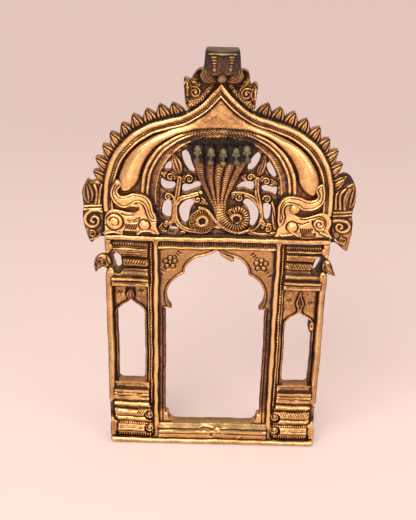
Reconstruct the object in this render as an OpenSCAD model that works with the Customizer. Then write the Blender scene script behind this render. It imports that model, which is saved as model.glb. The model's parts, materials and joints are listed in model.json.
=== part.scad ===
// Brass prabhavali: a portal frame with two pierced side bays, carrying an
// ogee arch with petals, yalis, vine tracery, a hooded naga and a lion mask.
// Front faces -Y, up is +Z, and the origin is the middle of the foot.

/* [Frame] */
// Width across the two outer posts
frame_w = 158.6; // [152:0.2:168]
// Depth of the posts, front to back
frame_t = 16; // [15:0.5:18]
// Depth of the base bar
base_t = 22; // [18:0.5:26]
// Depth of the lintel beam
beam_t = 19; // [17:0.5:22]
// Height of the base bar
base_h = 5; // [4:0.5:7]
// Length of the posts between base bar and lintel
post_h = 165.5; // [160:0.5:180]
// Height of the lintel beam
beam_h = 3.7; // [3:0.1:6]
// Width of an outer post
outer_post_w = 4.5; // [4:0.5:6]
// Width of an inner post
inner_post_w = 3.2; // [2.6:0.1:4]
// Clear width between the inner posts
bay_w = 83.6; // [80:0.2:86]
// Length of a post's tenon in its mortise
tenon_l = 2.5; // [1.5:0.5:2.5]
// Side wall left round a tenon
tenon_wall = 0.6; // [0.4:0.1:0.8]

/* [Panels] */
// Depth of the panels' faces behind the posts' fronts
panel_set = 5; // [4:0.5:6]
// Thickness of the recessed panels
panel_t = 6; // [4:0.5:8]
// Width of the jamb strip beside the portal
jamb_w = 5.3; // [4.5:0.1:6]
// Height of the stepped corners above the sill
corner_h = 8.2; // [6:0.1:10]
// Width of the stepped corners
corner_w = 6; // [4:0.5:8]
// Distance of the portal's crown below the lintel
crown_gap = 8.3; // [6.5:0.1:12]
// Rise of the cusped arch above its springing
cusp_rise = 46.2; // [42:0.1:47]
// Height of the dentil strip under the lintel
frieze_h = 5.5; // [4:0.5:6]
// Reach of the dentil strip in front of the panel
frieze_reach = 5.5; // [4:0.5:6]
// Width of the bead strip beside an inner post
bead_strip_w = 4; // [3:0.5:5]
// Reach of the bead strip in front of the panel
bead_reach = 3.5; // [2:0.5:5]
// Height of the scroll block under the bead strip
bead_foot = 29; // [28:0.5:33]

/* [Side bays] */
// Height of the sloping sill under a niche opening
niche_sill = 5.2; // [4:0.2:7]
// Width of the jambs beside a niche opening
niche_jamb_w = 2.9; // [2.4:0.1:4]
// Distance of the left niche's tip below the capital
niche_gap_left = 12.4; // [10:0.1:15]
// Distance of the right niche's tip below the capital
niche_gap_right = 19.7; // [17:0.1:23]
// Rise of the ogee over a niche
niche_rise = 11.3; // [9:0.1:12]
// Height of the bud over the left niche
bud_left = 6.5; // [5:0.5:7]
// Height of the bud over the right niche
bud_right = 13.5; // [10:0.5:14]
// Radius of the scrolls at the foot of a pier
foot_scroll_r = 3.6; // [3:0.1:3.9]
// Height of the lower notch in an outer post, above the base bar
notch_low = 17.5; // [16:0.5:19]
// Distance of the upper notch below the lintel
notch_high = 12; // [11:0.5:13]
// Length of a notch
notch_l = 12; // [10:0.5:13]

/* [Arch] */
// Thickness of the arch plate
plate_t = 5.5; // [4.5:0.5:6]
// Height of the arch's widest point above the lintel
arch_spring = 21; // [18:0.5:26]
// Rise of the arch above its widest point, without the ogee tip
arch_rise = 65.3; // [62:0.1:72]
// Squareness of the arch's shoulders
arch_power = 2.6; // [2.3:0.1:2.8]
// Rise of the ogee tip over the arch
ogee_rise = 21.5; // [17:0.5:24]
// Half width of the ogee tip
ogee_half_w = 30; // [24:1:34]
// Width of the outer rim
rim_w = 7; // [6:0.5:8]
// Reach of the outer rim in front of the plate
rim_reach = 5.5; // [4:0.5:6]
// Half width of the tracery field inside the arch
field_half_w = 43; // [41:0.5:44]
// Height of the tracery field's springing above the lintel
field_spring = 28.8; // [27:0.2:32]
// Rise of the tracery field above its springing
field_rise = 42; // [40:0.5:44]
// Width of the inner rim at its feet
inner_rim_w = 11; // [9:0.5:12]
// Width of the inner rim at its crown
inner_rim_crown = 6; // [5:0.5:7]
// Reach of the inner rim's fillets in front of the plate
inner_rim_reach = 4.5; // [3:0.5:5]
// Reach of the swelling roll in front of the plate
roll_reach = 7; // [5:0.5:8]
// Gap between the roll and the rims
roll_gap = 1; // [0.8:0.1:2]

/* [Ornament] */
// Number of petals on each flank of the arch
petals = 9; // [7:1:11]
// Height of a petal
petal_l = 9.8; // [8:0.1:12]
// Thickness of the petal border
petal_t = 5; // [4:0.5:5.5]
// Reach of a petal's raised heart
petal_reach = 1.2; // [0.8:0.2:2]
// Thickness of the wing scrolls
wing_t = 6; // [5:0.5:7]
// Height of the relief on wings and crest
relief = 1.8; // [1:0.2:2.5]
// Depth of the yalis in front of the arch plate
yali_reach = 7; // [5:0.5:7.5]
// Thickness of the vine tracery
vine_t = 5; // [4:0.5:5.5]
// Width of a vine stem
vine_w = 2.6; // [2.2:0.1:3]
// Radius of the naga's left coil
coil_left_r = 9; // [8.5:0.1:9.4]
// Radius of the naga's right coil
coil_right_r = 9.4; // [8.6:0.1:9.6]
// Radius of the hole through a coil
coil_eye_r = 2.3; // [1.8:0.1:2.6]
// Distance of the hood's top below the tracery field's crown
hood_drop = 7.8; // [7:0.1:10]
// Reach of the naga's heads in front of its hood
head_reach = 10; // [8:0.5:12]
// Height of the lion mask
mask_h = 22; // [20:0.5:25]
// Radius of the lion mask at its jaw
mask_r = 12.8; // [12:0.1:13.4]
// Radius of the lion mask at its flat top
mask_top_r = 11; // [10:0.1:12]

/* [Joinery] */
// Radius of the rivets that hold the ornaments from behind
rivet_r = 1.5; // [1.2:0.1:1.8]
// Depth of a rivet in the ornament that it holds
rivet_bite = 3; // [2:0.5:3.5]
// Radius of the dowels between lintel and arch
dowel_r = 1.6; // [1.2:0.1:1.8]
// Depth of a dowel in the arch plate
dowel_up = 8; // [6:1:12]
// Depth of a dowel in the capital moulding
dowel_down = 4; // [3:0.5:6]

/* [Hidden] */
$fn = 48;
brass = [0.78, 0.58, 0.28];
brass_dark = [0.62, 0.43, 0.2];
verdigris = [0.5, 0.5, 0.34];

front = -frame_t / 2;
back = frame_t / 2;
panel_front = front + panel_set;
panel_back = panel_front + panel_t;
plate_front = panel_front + 1;
plate_back = plate_front + plate_t;
half_w = frame_w / 2;
post_top = base_h + post_h;
beam_top = post_top + beam_h;
bay_half = bay_w / 2;
inner_post_out = bay_half + inner_post_w;
strip_out = inner_post_out + bead_strip_w;
pier_in = half_w - outer_post_w;
pier_mid = (pier_in + strip_out) / 2;
niche_w = pier_in - strip_out - 2 * niche_jamb_w;
tenon_w = inner_post_w - 2 * tenon_wall;
tenon_d = frame_t / 2;

// Each layer of a moulding: its height and its reach in front of the panel at
// foot and top. A layer with one reach has a half-round face.
base_layers = [[3.4, 5.8], [3.2, 6.4, 6.4], [6, 6.2, 4.2], [1.8, 2.2, 2.2], [3.6, 5, 5], [1.2, 2.5, 2.5],
               [6, 7], [3.6, 1.5, 1.5], [4, 4.6, 4.6], [0.8, 3, 3], [4.2, 6, 6], [0.8, 5, 5],
               [4.2, 6.6, 6.6]];
cap_layers = [[3.6, 6, 6], [1.2, 4.5, 4.5], [2.4, 7, 7], [4, 4.6], [2.6, 4.4, 4.4], [2.2, 2, 2], [5.4, 6.8],
              [1.6, 2.4, 2.4], [1.4, 3.4, 3.4], [1.4, 4.4, 4.4], [1.4, 5.4, 5.4], [2.6, 6.8, 6.8],
              [3, 4, 4], [2.7, 3, 3]];
sill_layers = [[4, 6.5, 6.5], [1.2, 5, 5], [3.2, 7, 7], [3, 6, 0.4]];

function lerp(a, b, t) = a + (b - a) * t;
function unit(v) = v / norm(v);
function flip(p) = [-p[0], p[1]];
function reversed(p) = [for (i = [len(p) - 1:-1:0]) p[i]];
function total(l, n) = n == 0 ? 0 : l[n - 1][0] + total(l, n - 1);
function at(offset, p) = [for (q = p) offset + q];

base_top = base_h + total(base_layers, len(base_layers));
sill_top = base_h + total(sill_layers, len(sill_layers));
cap_foot = post_top - total(cap_layers, len(cap_layers));

// A smooth curve through the points, n steps between each pair.
function through(p0, p1, p2, p3, t) =
    0.5 * (2 * p1 + (p2 - p0) * t + (2 * p0 - 5 * p1 + 4 * p2 - p3) * t * t
           + (3 * p1 - p0 - 3 * p2 + p3) * t * t * t);
function curve(p, n = 5) = let (m = len(p) - 1)
    [for (i = [0:m - 1]) for (k = [0:n - 1])
         through(p[max(i - 1, 0)], p[i], p[i + 1], p[min(i + 2, m)], k / n),
     p[m]];

// The outline of a strip of changing width along a path.
function tangent(p, i) = unit(p[min(i + 1, len(p) - 1)] - p[max(i - 1, 0)]);
function beside(p, i, d) = p[i] + d * [-tangent(p, i)[1], tangent(p, i)[0]];
function strip(p, w0, w1) = let (m = len(p) - 1)
    concat([for (i = [0:m]) beside(p, i, lerp(w0, w1, i / m) / 2)],
           [for (i = [m:-1:0]) beside(p, i, -lerp(w0, w1, i / m) / 2)]);

// A spiral path from radius r0 to r1.
function spiral(c, r0, r1, start, turns, n = 28) =
    [for (i = [0:n]) let (t = i / n) c + lerp(r0, r1, t) * [cos(start + 360 * turns * t),
                                                           sin(start + 360 * turns * t)]];

// The outline of a pointed leaf from its base to its tip.
function leaf_half(t, w) = w / 2 * pow(sin(180 * pow(t, 0.75)), 0.85);
function leaf(base, tip, w, n = 9) = let (d = tip - base, s = unit([-d[1], d[0]]))
    concat([for (i = [0:n]) base + d * i / n + s * leaf_half(i / n, w)],
           [for (i = [n - 1:-1:1]) base + d * i / n - s * leaf_half(i / n, w)]);

// Points of the arch: a superellipse with an ogee tip, inset by d.
function superellipse(a, w, h, power) =
    [w * sign(cos(a)) * pow(abs(cos(a)), 2 / power), h * pow(abs(sin(a)), 2 / power)];
function ogee(x, lift) = lift * pow(max(0, 1 - abs(x) / ogee_half_w), 2);
function arch_point(a, d = 0) =
    let (p = superellipse(a, half_w - d, arch_rise - d, arch_power))
    [p[0], beam_top + arch_spring + p[1] + ogee(p[0], ogee_rise - d / 2)];

// Points between the tracery field's edge (s = 0) and the inner rim's (s = 1).
function field_point(a, s = 0) =
    let (p = superellipse(a, field_half_w + inner_rim_w * s, field_rise + inner_rim_crown * s, 2.2 + 0.2 * s))
    [p[0], beam_top + field_spring + p[1]];

arch_step = 3;
function arch_run(a0, a1, d = 0) = [for (a = [a0:arch_step:a1]) arch_point(a, d)];
function field_run(a0, a1, s = 0) = [for (a = [a0:arch_step:a1]) field_point(a, s)];

// The tracery field's outline, standing on the lintel.
field = concat([[field_half_w, beam_top]], field_run(0, 180), [[-field_half_w, beam_top]]);

// An outline in X and Z, thickened in Y from its front to its back.
module slab(y0, y1) {
    translate([0, y1, 0]) rotate([90, 0, 0]) linear_extrude(y1 - y0) children();
}

// A side is 1 for the right and -1 for the left.
module on_side(side) {
    mirror([side < 0 ? 1 : 0, 0, 0]) children();
}

// A solid through rings of points, closed at both ends.
module skin(rings) {
    n = len(rings[0]);
    m = len(rings);
    walls = [for (i = [0:m - 2]) for (j = [0:n - 1])
                 each let (a = i * n + j, b = i * n + (j + 1) % n)
                     [[a, b, a + n], [b, b + n, a + n]]];
    polyhedron([for (r = rings) each r],
               concat(walls, [[for (j = [n - 1:-1:0]) j], [for (j = [0:n - 1]) (m - 1) * n + j]]));
}

// A moulding run along X from x0 to x1, standing at z.
function layer_points(l, i) = let (z = total(l, i), h = l[i][0], r = l[i][1])
    len(l[i]) == 2
        ? [for (k = [0:8]) [r - h / 2 + h / 2 * sin(22.5 * k), z + h / 2 - h / 2 * cos(22.5 * k)]]
        : [[r, z], [l[i][2], z + h]];
function profile(l, depth) =
    concat([[-depth, 0]], [for (i = [0:len(l) - 1]) each layer_points(l, i)],
           [[-depth, total(l, len(l))]]);
module moulding(x0, x1, z, layers, depth) {
    translate([x1, panel_front, z]) rotate([90, 0, -90])
        linear_extrude(x1 - x0) polygon(profile(layers, depth));
}

// Frame

module tenon(z, length) {
    translate([-tenon_w / 2, -tenon_d / 2, z]) cube([tenon_w, tenon_d, length]);
}

module inner_post_tenons(side) {
    translate([side * (bay_half + inner_post_w / 2), 0, 0]) {
        tenon(base_h - tenon_l, tenon_l);
        tenon(post_top, tenon_l);
    }
}

module outer_post_tenons(side) {
    for (z = [base_h - tenon_l, post_top])
        translate([side * (pier_in + outer_post_w / 2) - tenon_w / 2, panel_front + 2, z])
            cube([tenon_w, tenon_d, tenon_l]);
}

module base_bar() {
    color(brass) difference() {
        translate([-half_w, -base_t / 2, 0]) cube([frame_w, base_t, base_h]);
        for (side = [-1, 1]) {
            inner_post_tenons(side);
            outer_post_tenons(side);
        }
    }
}

module lintel_beam() {
    color(brass) difference() {
        translate([-half_w, -beam_t / 2, post_top]) cube([frame_w, beam_t, beam_h]);
        for (side = [-1, 1]) {
            inner_post_tenons(side);
            outer_post_tenons(side);
        }
        dowel_holes();
    }
}

module inner_post(side) {
    color(brass) {
        translate([side * (bay_half + inner_post_w / 2), 0, base_h]) union() {
            translate([-inner_post_w / 2, front + inner_post_w / 2, 0])
                cube([inner_post_w, frame_t - inner_post_w / 2, post_h]);
            translate([0, front + inner_post_w / 2, 0]) cylinder(h = post_h, d = inner_post_w);
        }
        inner_post_tenons(side);
    }
}

// The outer post is cut back at two notches, where the mouldings and the bird
// bracket come through.
module outer_post(side) {
    color(brass) {
        difference() {
            on_side(side) translate([pier_in, front, base_h]) cube([outer_post_w, frame_t, post_h]);
            for (z = [base_h + notch_low, post_top - notch_high - notch_l])
                translate([-half_w - 1, front - 1, z]) cube([frame_w + 2, panel_front - front + 1, notch_l]);
        }
        outer_post_tenons(side);
    }
}

module bead_strip(side) {
    color(brass_dark) on_side(side) {
        translate([inner_post_out, panel_front - bead_reach / 2, base_h + bead_foot])
            cube([bead_strip_w, panel_t + bead_reach / 2, post_h - bead_foot]);
        translate([inner_post_out + bead_strip_w / 2, panel_front - bead_reach / 2, base_h + bead_foot])
            cylinder(h = post_h - bead_foot, r = min(bead_strip_w, bead_reach) / 2);
    }
}

// Portal

// Half of the cusped opening's head, from its foot to the crown, in shares of
// its half width and rise.
cusp_lower = [[0.87, 0], [0.955, 0.12], [0.975, 0.26], [0.92, 0.42], [0.8, 0.53], [0.635, 0.615]];
cusp_upper = [[0.635, 0.615], [0.605, 0.72], [0.52, 0.81], [0.4, 0.88], [0.26, 0.915]];
cusp_crown = [[0.26, 0.915], [0.15, 0.945], [0.06, 0.975], [0, 1]];

module portal_opening() {
    w = bay_half - jamb_w;
    z0 = sill_top;
    z1 = post_top - crown_gap - cusp_rise;
    head = [for (p = concat(curve(cusp_lower), curve(cusp_upper), curve(cusp_crown)))
                [p[0] * w, z1 + p[1] * cusp_rise]];
    right = concat([[w - corner_w, z0], [w - corner_w / 2, z0 + corner_h * 0.4],
                    [w - corner_w / 3, z0 + corner_h], [w, z0 + corner_h], [w, z1]], head);
    polygon(concat(right, [for (p = reversed(right)) flip(p)]));
}

module portal_panel() {
    color(brass) slab(panel_front, panel_back) difference() {
        translate([-bay_half, base_h]) square([bay_w, post_h]);
        portal_opening();
    }
}

module sill_moulding() {
    color(brass) moulding(-bay_half, bay_half, base_h, sill_layers, 0);
}

module frieze_strip() {
    color(brass_dark) translate([-bay_half, panel_front - frieze_reach, post_top - frieze_h]) union() {
        translate([0, 1.2, 0]) cube([bay_w, frieze_reach - 1.2, frieze_h]);
        cube([bay_w, frieze_reach, 1.6]);
    }
}

// Side bays

module niche_opening(spring) {
    w = niche_w / 2;
    head = curve([[w, spring], [w * 0.93, spring + niche_rise * 0.22], [w * 0.68, spring + niche_rise * 0.48],
                  [w * 0.34, spring + niche_rise * 0.66], [w * 0.12, spring + niche_rise * 0.82],
                  [0, spring + niche_rise]]);
    right = concat([[w - 1.5, 0], [w, 1.5]], head);
    polygon(concat(right, [for (p = reversed(right)) flip(p)]));
}

// The panel stands between the mouldings; a raised rim follows its ogee and
// ends in a bud.
module niche_panel(side, gap, bud) {
    spring = cap_foot - gap - niche_rise - base_top - niche_sill;
    color(brass) on_side(side) {
        slab(panel_front, panel_back) difference() {
            translate([strip_out, base_top]) square([pier_in - strip_out, cap_foot - base_top]);
            translate([pier_mid, base_top + niche_sill]) niche_opening(spring);
        }
        slab(panel_front - relief, panel_front) translate([pier_mid, cap_foot - gap])
            polygon(leaf([0, 0.8], [0, 0.8 + bud], bud * 0.42 + 2));
        moulding(strip_out, pier_in, base_top, [[niche_sill, 5.5, 0.4]], 0);
    }
}

// Stacked base mouldings, with two scrolls against the inner post.
scroll_x = inner_post_out + foot_scroll_r;
function scroll_z(k) = base_h + foot_scroll_r + 4 + k * (2 * foot_scroll_r + 5);
module foot_scroll(k, y0, r) {
    translate([scroll_x, y0, scroll_z(k)]) rotate([-90, 0, 0]) cylinder(h = panel_front - y0, r = r);
}
module base_moulding(side) {
    color(brass) on_side(side) {
        difference() {
            union() {
                moulding(strip_out, pier_in, base_h, base_layers, panel_t);
                translate([inner_post_out, panel_front, base_h])
                    cube([bead_strip_w + 1, panel_t, bead_foot]);
            }
            for (k = [0, 1]) foot_scroll(k, front - 1, foot_scroll_r);
        }
        for (k = [0, 1]) {
            foot_scroll(k, front + 1.5, foot_scroll_r);
            foot_scroll(k, front + 0.5, foot_scroll_r * 0.45);
        }
        // The roll and the fillet run on through the post's lower notch.
        translate([pier_in - 1, panel_front - 4.6, base_h + notch_low + 0.6])
            cube([outer_post_w - 0.6, 4.6, notch_l - 1.2]);
    }
}

// Stacked capital mouldings, pierced at the outer end behind the bird.
module capital_moulding(side) {
    hole_w = 6;
    color(brass) on_side(side) difference() {
        moulding(strip_out, pier_in, cap_foot, cap_layers, panel_t);
        slab(front - 3, back + 1) translate([pier_in - hole_w, post_top - notch_high - notch_l])
            polygon([[0, 3], [2, 0], [hole_w + 1, 1], [hole_w + 1, notch_l - 1], [2.5, notch_l - 1],
                     [0, notch_l - 4]]);
        on_side(side) dowel_holes();
    }
}

// Outlines of the birds from the post's outer edge and the notch's foot, with
// the beak outside.
bird_left = [[-4.4, 1.2], [-3.4, 7.6], [0.6, 11.6], [4.8, 11], [7.6, 8], [8.6, 3], [7.8, -2.9], [5.4, -0.2],
             [2.4, 1.6], [-0.6, 0.5]];
bird_right = [[-4.4, 1.4], [-4.4, 6.4], [-2, 10.6], [1, 10], [3, 6.4], [4.6, 2], [6.2, -2], [2.2, -0.6],
              [-1.2, 0.4]];
module bird_bracket(side, outline) {
    z = post_top - notch_high - notch_l;
    color(brass_dark) on_side(side) difference() {
        union() {
            slab(front + 0.6, panel_front) translate([half_w, z])
                polygon(curve(concat(outline, [outline[0]]), 4));
            translate([half_w + 2.4, front, z + 6]) rotate([-90, 0, 0]) cylinder(h = panel_set, r = 2.4);
        }
        translate([half_w + 2.4, front - 1, z + 6]) rotate([-90, 0, 0]) cylinder(h = 2.2, r = 1);
    }
}

// Arch

module arch_plate() {
    color(brass_dark) difference() {
        slab(plate_front, plate_back)
            polygon(concat([[half_w, beam_top]], arch_run(0, 180), [[-half_w, beam_top]],
                           [[-field_half_w, beam_top]], reversed(field_run(0, 180)),
                           [[field_half_w, beam_top]]));
        dowel_holes();
        rivet_holes();
    }
}

rim_foot = beam_top + 17;
function rim_band(d0, d1) =
    concat([[half_w - d0, rim_foot]], arch_run(0, 180, d0),
           [[d0 - half_w, rim_foot], [d1 - half_w, rim_foot]],
           reversed(arch_run(0, 180, d1)), [[half_w - d1, rim_foot]]);

// A flat outer band, a sunk channel and an inner fillet.
module arch_outer_rim() {
    color(brass) {
        slab(plate_front - rim_reach * 0.6, plate_front) polygon(rim_band(0, rim_w));
        slab(plate_front - rim_reach, plate_front - rim_reach * 0.6) polygon(rim_band(0, rim_w * 0.5));
        slab(plate_front - rim_reach * 0.9, plate_front - rim_reach * 0.6)
            polygon(rim_band(rim_w * 0.75, rim_w));
    }
}

inner_rim_start = 3;
function field_band(s0, s1) =
    concat(field_run(inner_rim_start, 180 - inner_rim_start, s0),
           reversed(field_run(inner_rim_start, 180 - inner_rim_start, s1)));

// Two fillets with a sunk bead channel between them, and a lip at the field.
module arch_inner_rim() {
    low = plate_front - inner_rim_reach * 0.45;
    color(brass) {
        slab(low, plate_front) polygon(field_band(0, 1));
        slab(plate_front - inner_rim_reach, low) polygon(field_band(0.34, 0.52));
        slab(plate_front - inner_rim_reach, low) polygon(field_band(0.82, 1));
        slab(plate_front - inner_rim_reach * 0.75, low) polygon(field_band(0, 0.12));
    }
}

// The swelling roll fills the arch between its rims, with a round tip at each
// foot, and flattens to a plain field under the ogee.
roll_foot = 9;
roll_tip = 18;
function roll_swell(a) = let (t = min(1, (min(a, 180 - a) - roll_foot) / roll_tip)) sqrt(1 - pow(1 - t, 2));
function roll_share(a) = lerp(0.94, 1, min(1, max(0, (min(a, 180 - a) - 30) / 15)));
function roll_out(a) = arch_point(a, rim_w + roll_gap);
function roll_in(a) = field_point(a, 1 + roll_gap / inner_rim_w);
function roll_mid(a) = (roll_out(a) + roll_in(a)) / 2;
function roll_ring(a) =
    let (m = roll_mid(a), r = (roll_out(a) - roll_in(a)) / 2 * roll_share(a) * max(0.25, roll_swell(a)),
         lift = roll_reach * max(0.25, roll_swell(a)) * lerp(0.5, 1, min(1, abs(a - 90) / 34)))
    [for (k = [0:10]) let (p = m + r * cos(18 * k)) [p[0], plate_front - lift * sin(18 * k), p[1]]];
module arch_roll() {
    color(brass) difference() {
        skin([for (a = [roll_foot:arch_step:180 - roll_foot]) roll_ring(a)]);
        rivet_holes();
    }
}

// The border of petals: pointed leaves side by side on the arch's edge, each
// with a raised heart.
petal_a0 = 12;
petal_a1 = 78;
petal_root = 1.2;
edge = arch_run(petal_a0, petal_a1);
function run_length(p, n) = n == 0 ? 0 : norm(p[n] - p[n - 1]) + run_length(p, n - 1);
edge_l = run_length(edge, len(edge) - 1);
function walk(p, s, i = 1) = let (d = norm(p[i] - p[i - 1]))
    s <= d || i == len(p) - 1 ? lerp(p[i - 1], p[i], s / d) : walk(p, s - d, i + 1);
function outward(s) = let (d = walk(edge, min(s + 0.5, edge_l)) - walk(edge, max(s - 0.5, 0)))
    unit([d[1], -d[0]]);
petal_w = edge_l / petals;
function petal_half(u) = petal_w * 0.49 * (1 - pow(u, 3));
function petal(k) =
    let (c = (k + 0.5) * petal_w, n = outward(c), t = [n[1], -n[0]], foot = walk(edge, c) + n * petal_root,
         rise = petal_l - petal_root, u = [0, 0.25, 0.45, 0.62, 0.76, 0.88, 1])
    concat([for (i = [0:6]) foot + n * rise * u[i] + t * petal_half(u[i])],
           [for (i = [5:-1:0]) foot + n * rise * u[i] - t * petal_half(u[i])]);
module petal_row(side) {
    y1 = plate_front + petal_t;
    color(brass) on_side(side) {
        slab(plate_front, y1) polygon(concat([for (k = [0:petals - 1]) each petal(k)], reversed(edge)));
        for (k = [0:petals - 1]) {
            c = (k + 0.5) * petal_w;
            slab(plate_front - petal_reach, plate_front)
                polygon(leaf(walk(edge, c) + outward(c) * 0.6, walk(edge, c) + outward(c) * petal_l * 0.82,
                             petal_w * 0.5));
        }
    }
}

// Wings: a lotus bud over a band and a scroll, hung on the arch's flank.
wing_outline = [[7.6, 42], [10.6, 38.6], [13.6, 33], [15.6, 28], [13.8, 22], [14.6, 15], [14.2, 7], [13, 0],
                [11.4, -8], [7.6, -4], [3.6, -0.6], [0, 1.2]];
wing_scroll_r = 6;
module wing_scroll(side) {
    origin = [half_w, beam_top];
    y0 = plate_front + petal_t - wing_t;
    color(brass) on_side(side) {
        slab(y0, plate_front + petal_t)
            polygon(concat(at(origin, curve(wing_outline, 4)), arch_run(0, petal_a0)));
        slab(y0 - relief, y0) {
            polygon(strip(spiral(origin + [7.2, 11], wing_scroll_r, 1.2, 200, -1.6), 1.8, 1.4));
            polygon(strip(spiral(origin + [9, 0.4], 2.6, 0.8, 160, -1.1, 14), 1.2, 1));
            polygon(leaf(origin + [9.8, 24.5], origin + [10, 38], 7));
            for (k = [0, 1]) translate(origin + [1, 19.4 + 2.2 * k]) square([12.4, 1.3]);
        }
    }
}

// Yalis: crouching beasts whose necks sweep back into raised trunks.
// Points are from the arch's outer edge inwards, and up from the lintel. The
// trunk keeps its place beside the rim; the rest is drawn for a room of 36.3
// up to the field and scales with that room.
yali_room = 36.3;
trunk_room = rim_w + 6.2;
yali_neck = [[34.8, 4], [35, 12], [34.6, 20], [32.6, 26.4], [28.6, 29.8], [23, 29], [17.4, 26.2],
             [12.8, 27.6], [10.4, 32], [10.4, 39]];
yali_body = [[0.8, 2], [1, 9], [3.6, 16], [9, 18.6], [17, 17.4], [25, 16.4], [31.6, 17.4],
             [35.6, 12], [37, 2]];
yali_hip = [7.2, 11];
yali_knee = [27.6, 9];
yali_head = [22.4, 21.6];
function yali_in(d) = d < trunk_room ? d
    : lerp(trunk_room, half_w - field_half_w, (d - trunk_room) / (yali_room - trunk_room));
function from_edge(p) = [half_w - yali_in(p[0]), beam_top + p[1]];
function neck_w(t) = lerp(7.4, 3.6, pow(t, 1.4));
module yali(side) {
    path = curve([for (p = yali_neck) from_edge(p)], 4);
    m = len(path) - 1;
    ring = function (i) let (w = neck_w(i / m) / 2)
        [for (k = [0:8]) let (p = beside(path, i, w * cos(22.5 * k)))
             [p[0], plate_front - yali_reach * 0.95 * sin(22.5 * k), p[1]]];
    color(brass) on_side(side) difference() {
        union() {
            slab(plate_front - yali_reach * 0.6, plate_front) {
                polygon(concat([for (p = curve(yali_body, 4)) from_edge(p)],
                               [from_edge([37, 0]), from_edge([0.8, 0])]));
            }
            skin([for (i = [0:m]) reversed(ring(i))]);
            yali_disc(yali_neck[9], 2.8, yali_reach * 0.8);
            yali_disc(yali_hip, 6.4, yali_reach);
            yali_disc(yali_knee, 4.2, yali_reach);
            yali_disc(yali_head, 4.4, yali_reach * 0.9);
            slab(plate_front - yali_reach * 0.9, plate_front) {
                polygon(strip([for (p = [[27, 8], [22, 4.5], [17.5, 1.6]]) from_edge(p)], 3.6, 2.2));
                polygon(strip([for (p = [[7, 8], [10, 3.5], [14, 1.4]]) from_edge(p)], 3.6, 2));
            }
        }
        on_side(side) rivet_holes();
    }
}
module yali_disc(c, r, reach) {
    p = from_edge(c);
    translate([p[0], plate_front, p[1]]) rotate([90, 0, 0]) dome(r, reach);
}

// A low dome on a short cylinder.
module dome(r, h) {
    rotate_extrude()
        polygon(concat([[0, 0], [r, 0]], [for (k = [0:6]) [r * cos(15 * k), h * (0.6 + 0.4 * sin(15 * k))]]));
}

// Naga

hood_left = [[-3.4, 6], [-3.6, 18], [-6, 25.6], [-10.5, 35], [-15.4, 45], [-18, 57], [-18.6, 63]];
hood_right = [[5.4, 6], [5.8, 18], [6.2, 25.6], [9.5, 35], [14, 45], [19, 57], [19.6, 63]];
hood_steps = 18;
coil_left = [-10.7, 10.6];
coil_right = [13.1, 12.8];

// A height's place on a side curve, by straight lines between its points.
function edge_x(p, h, i = 1) = h <= p[i][1] || i == len(p) - 1
    ? lerp(p[i - 1][0], p[i][0], (h - p[i - 1][1]) / (p[i][1] - p[i - 1][1])) : edge_x(p, h, i + 1);
hood_h0 = 12;
hood_h1 = field_spring + field_rise - hood_drop;
hood_heights = [for (k = [0:hood_steps]) lerp(hood_h0, hood_h1, k / hood_steps)];
hood_outline = at([0, beam_top], concat([for (h = hood_heights) [edge_x(hood_right, h), h]],
                                        [for (h = reversed(hood_heights)) [edge_x(hood_left, h), h]]));
naga_back = plate_front + vine_t;
naga_front = plate_front - 4;

// The hood swells into five ribs that spread from the neck and lean forward.
function hood_share(h) = (h - hood_h0) / (hood_h1 - hood_h0);
function hood_front(h) = naga_front - 6 * pow(hood_share(h), 1.4);
function hood_rib(h) = lerp(0.3, 1.3, hood_share(h));
function hood_dip(h, t) = 2.2 * pow(2 * t - 1, 2) + hood_rib(h) * (1 - abs(sin(180 * 5 * t)));
function hood_ring(h) =
    let (l = edge_x(hood_left, h), r = edge_x(hood_right, h), n = 20)
    concat([for (k = [0:n]) [lerp(l, r, k / n), hood_front(h) + hood_dip(h, k / n), beam_top + h]],
           [[r, naga_back, beam_top + h], [l, naga_back, beam_top + h]]);
module nape() {
    translate([edge_x(hood_left, hood_h1), beam_top + hood_h1 - 1])
        square([edge_x(hood_right, hood_h1) - edge_x(hood_left, hood_h1), 2 * hood_drop]);
}
module naga_hood() {
    color(brass_dark) difference() {
        union() {
            skin([for (h = hood_heights) reversed(hood_ring(h))]);
            // The nape rises to the arch behind the heads.
            slab(plate_front - 2, naga_back) intersection() {
                nape();
                polygon(field);
            }
        }
        slab(front - 9, back + 1) coil_discs();
        head_sockets();
    }
}

// The tail crosses from the left coil's crown to the right coil's foot.
tail = [[-8, 19.6], [-3, 15.4], [0.6, 9.6], [4.6, 4.4], [11, 1.8], [20, 3.4]];
module tail_band() {
    translate([0, beam_top]) intersection() {
        polygon(strip(curve(tail), 4.6, 3.4));
        translate([-field_half_w, 0]) square([2 * field_half_w, field_spring]);
    }
}
module coil_discs() {
    translate([0, beam_top]) {
        translate(coil_left) circle(r = coil_left_r);
        translate(coil_right) circle(r = coil_right_r);
    }
    tail_band();
}

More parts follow.
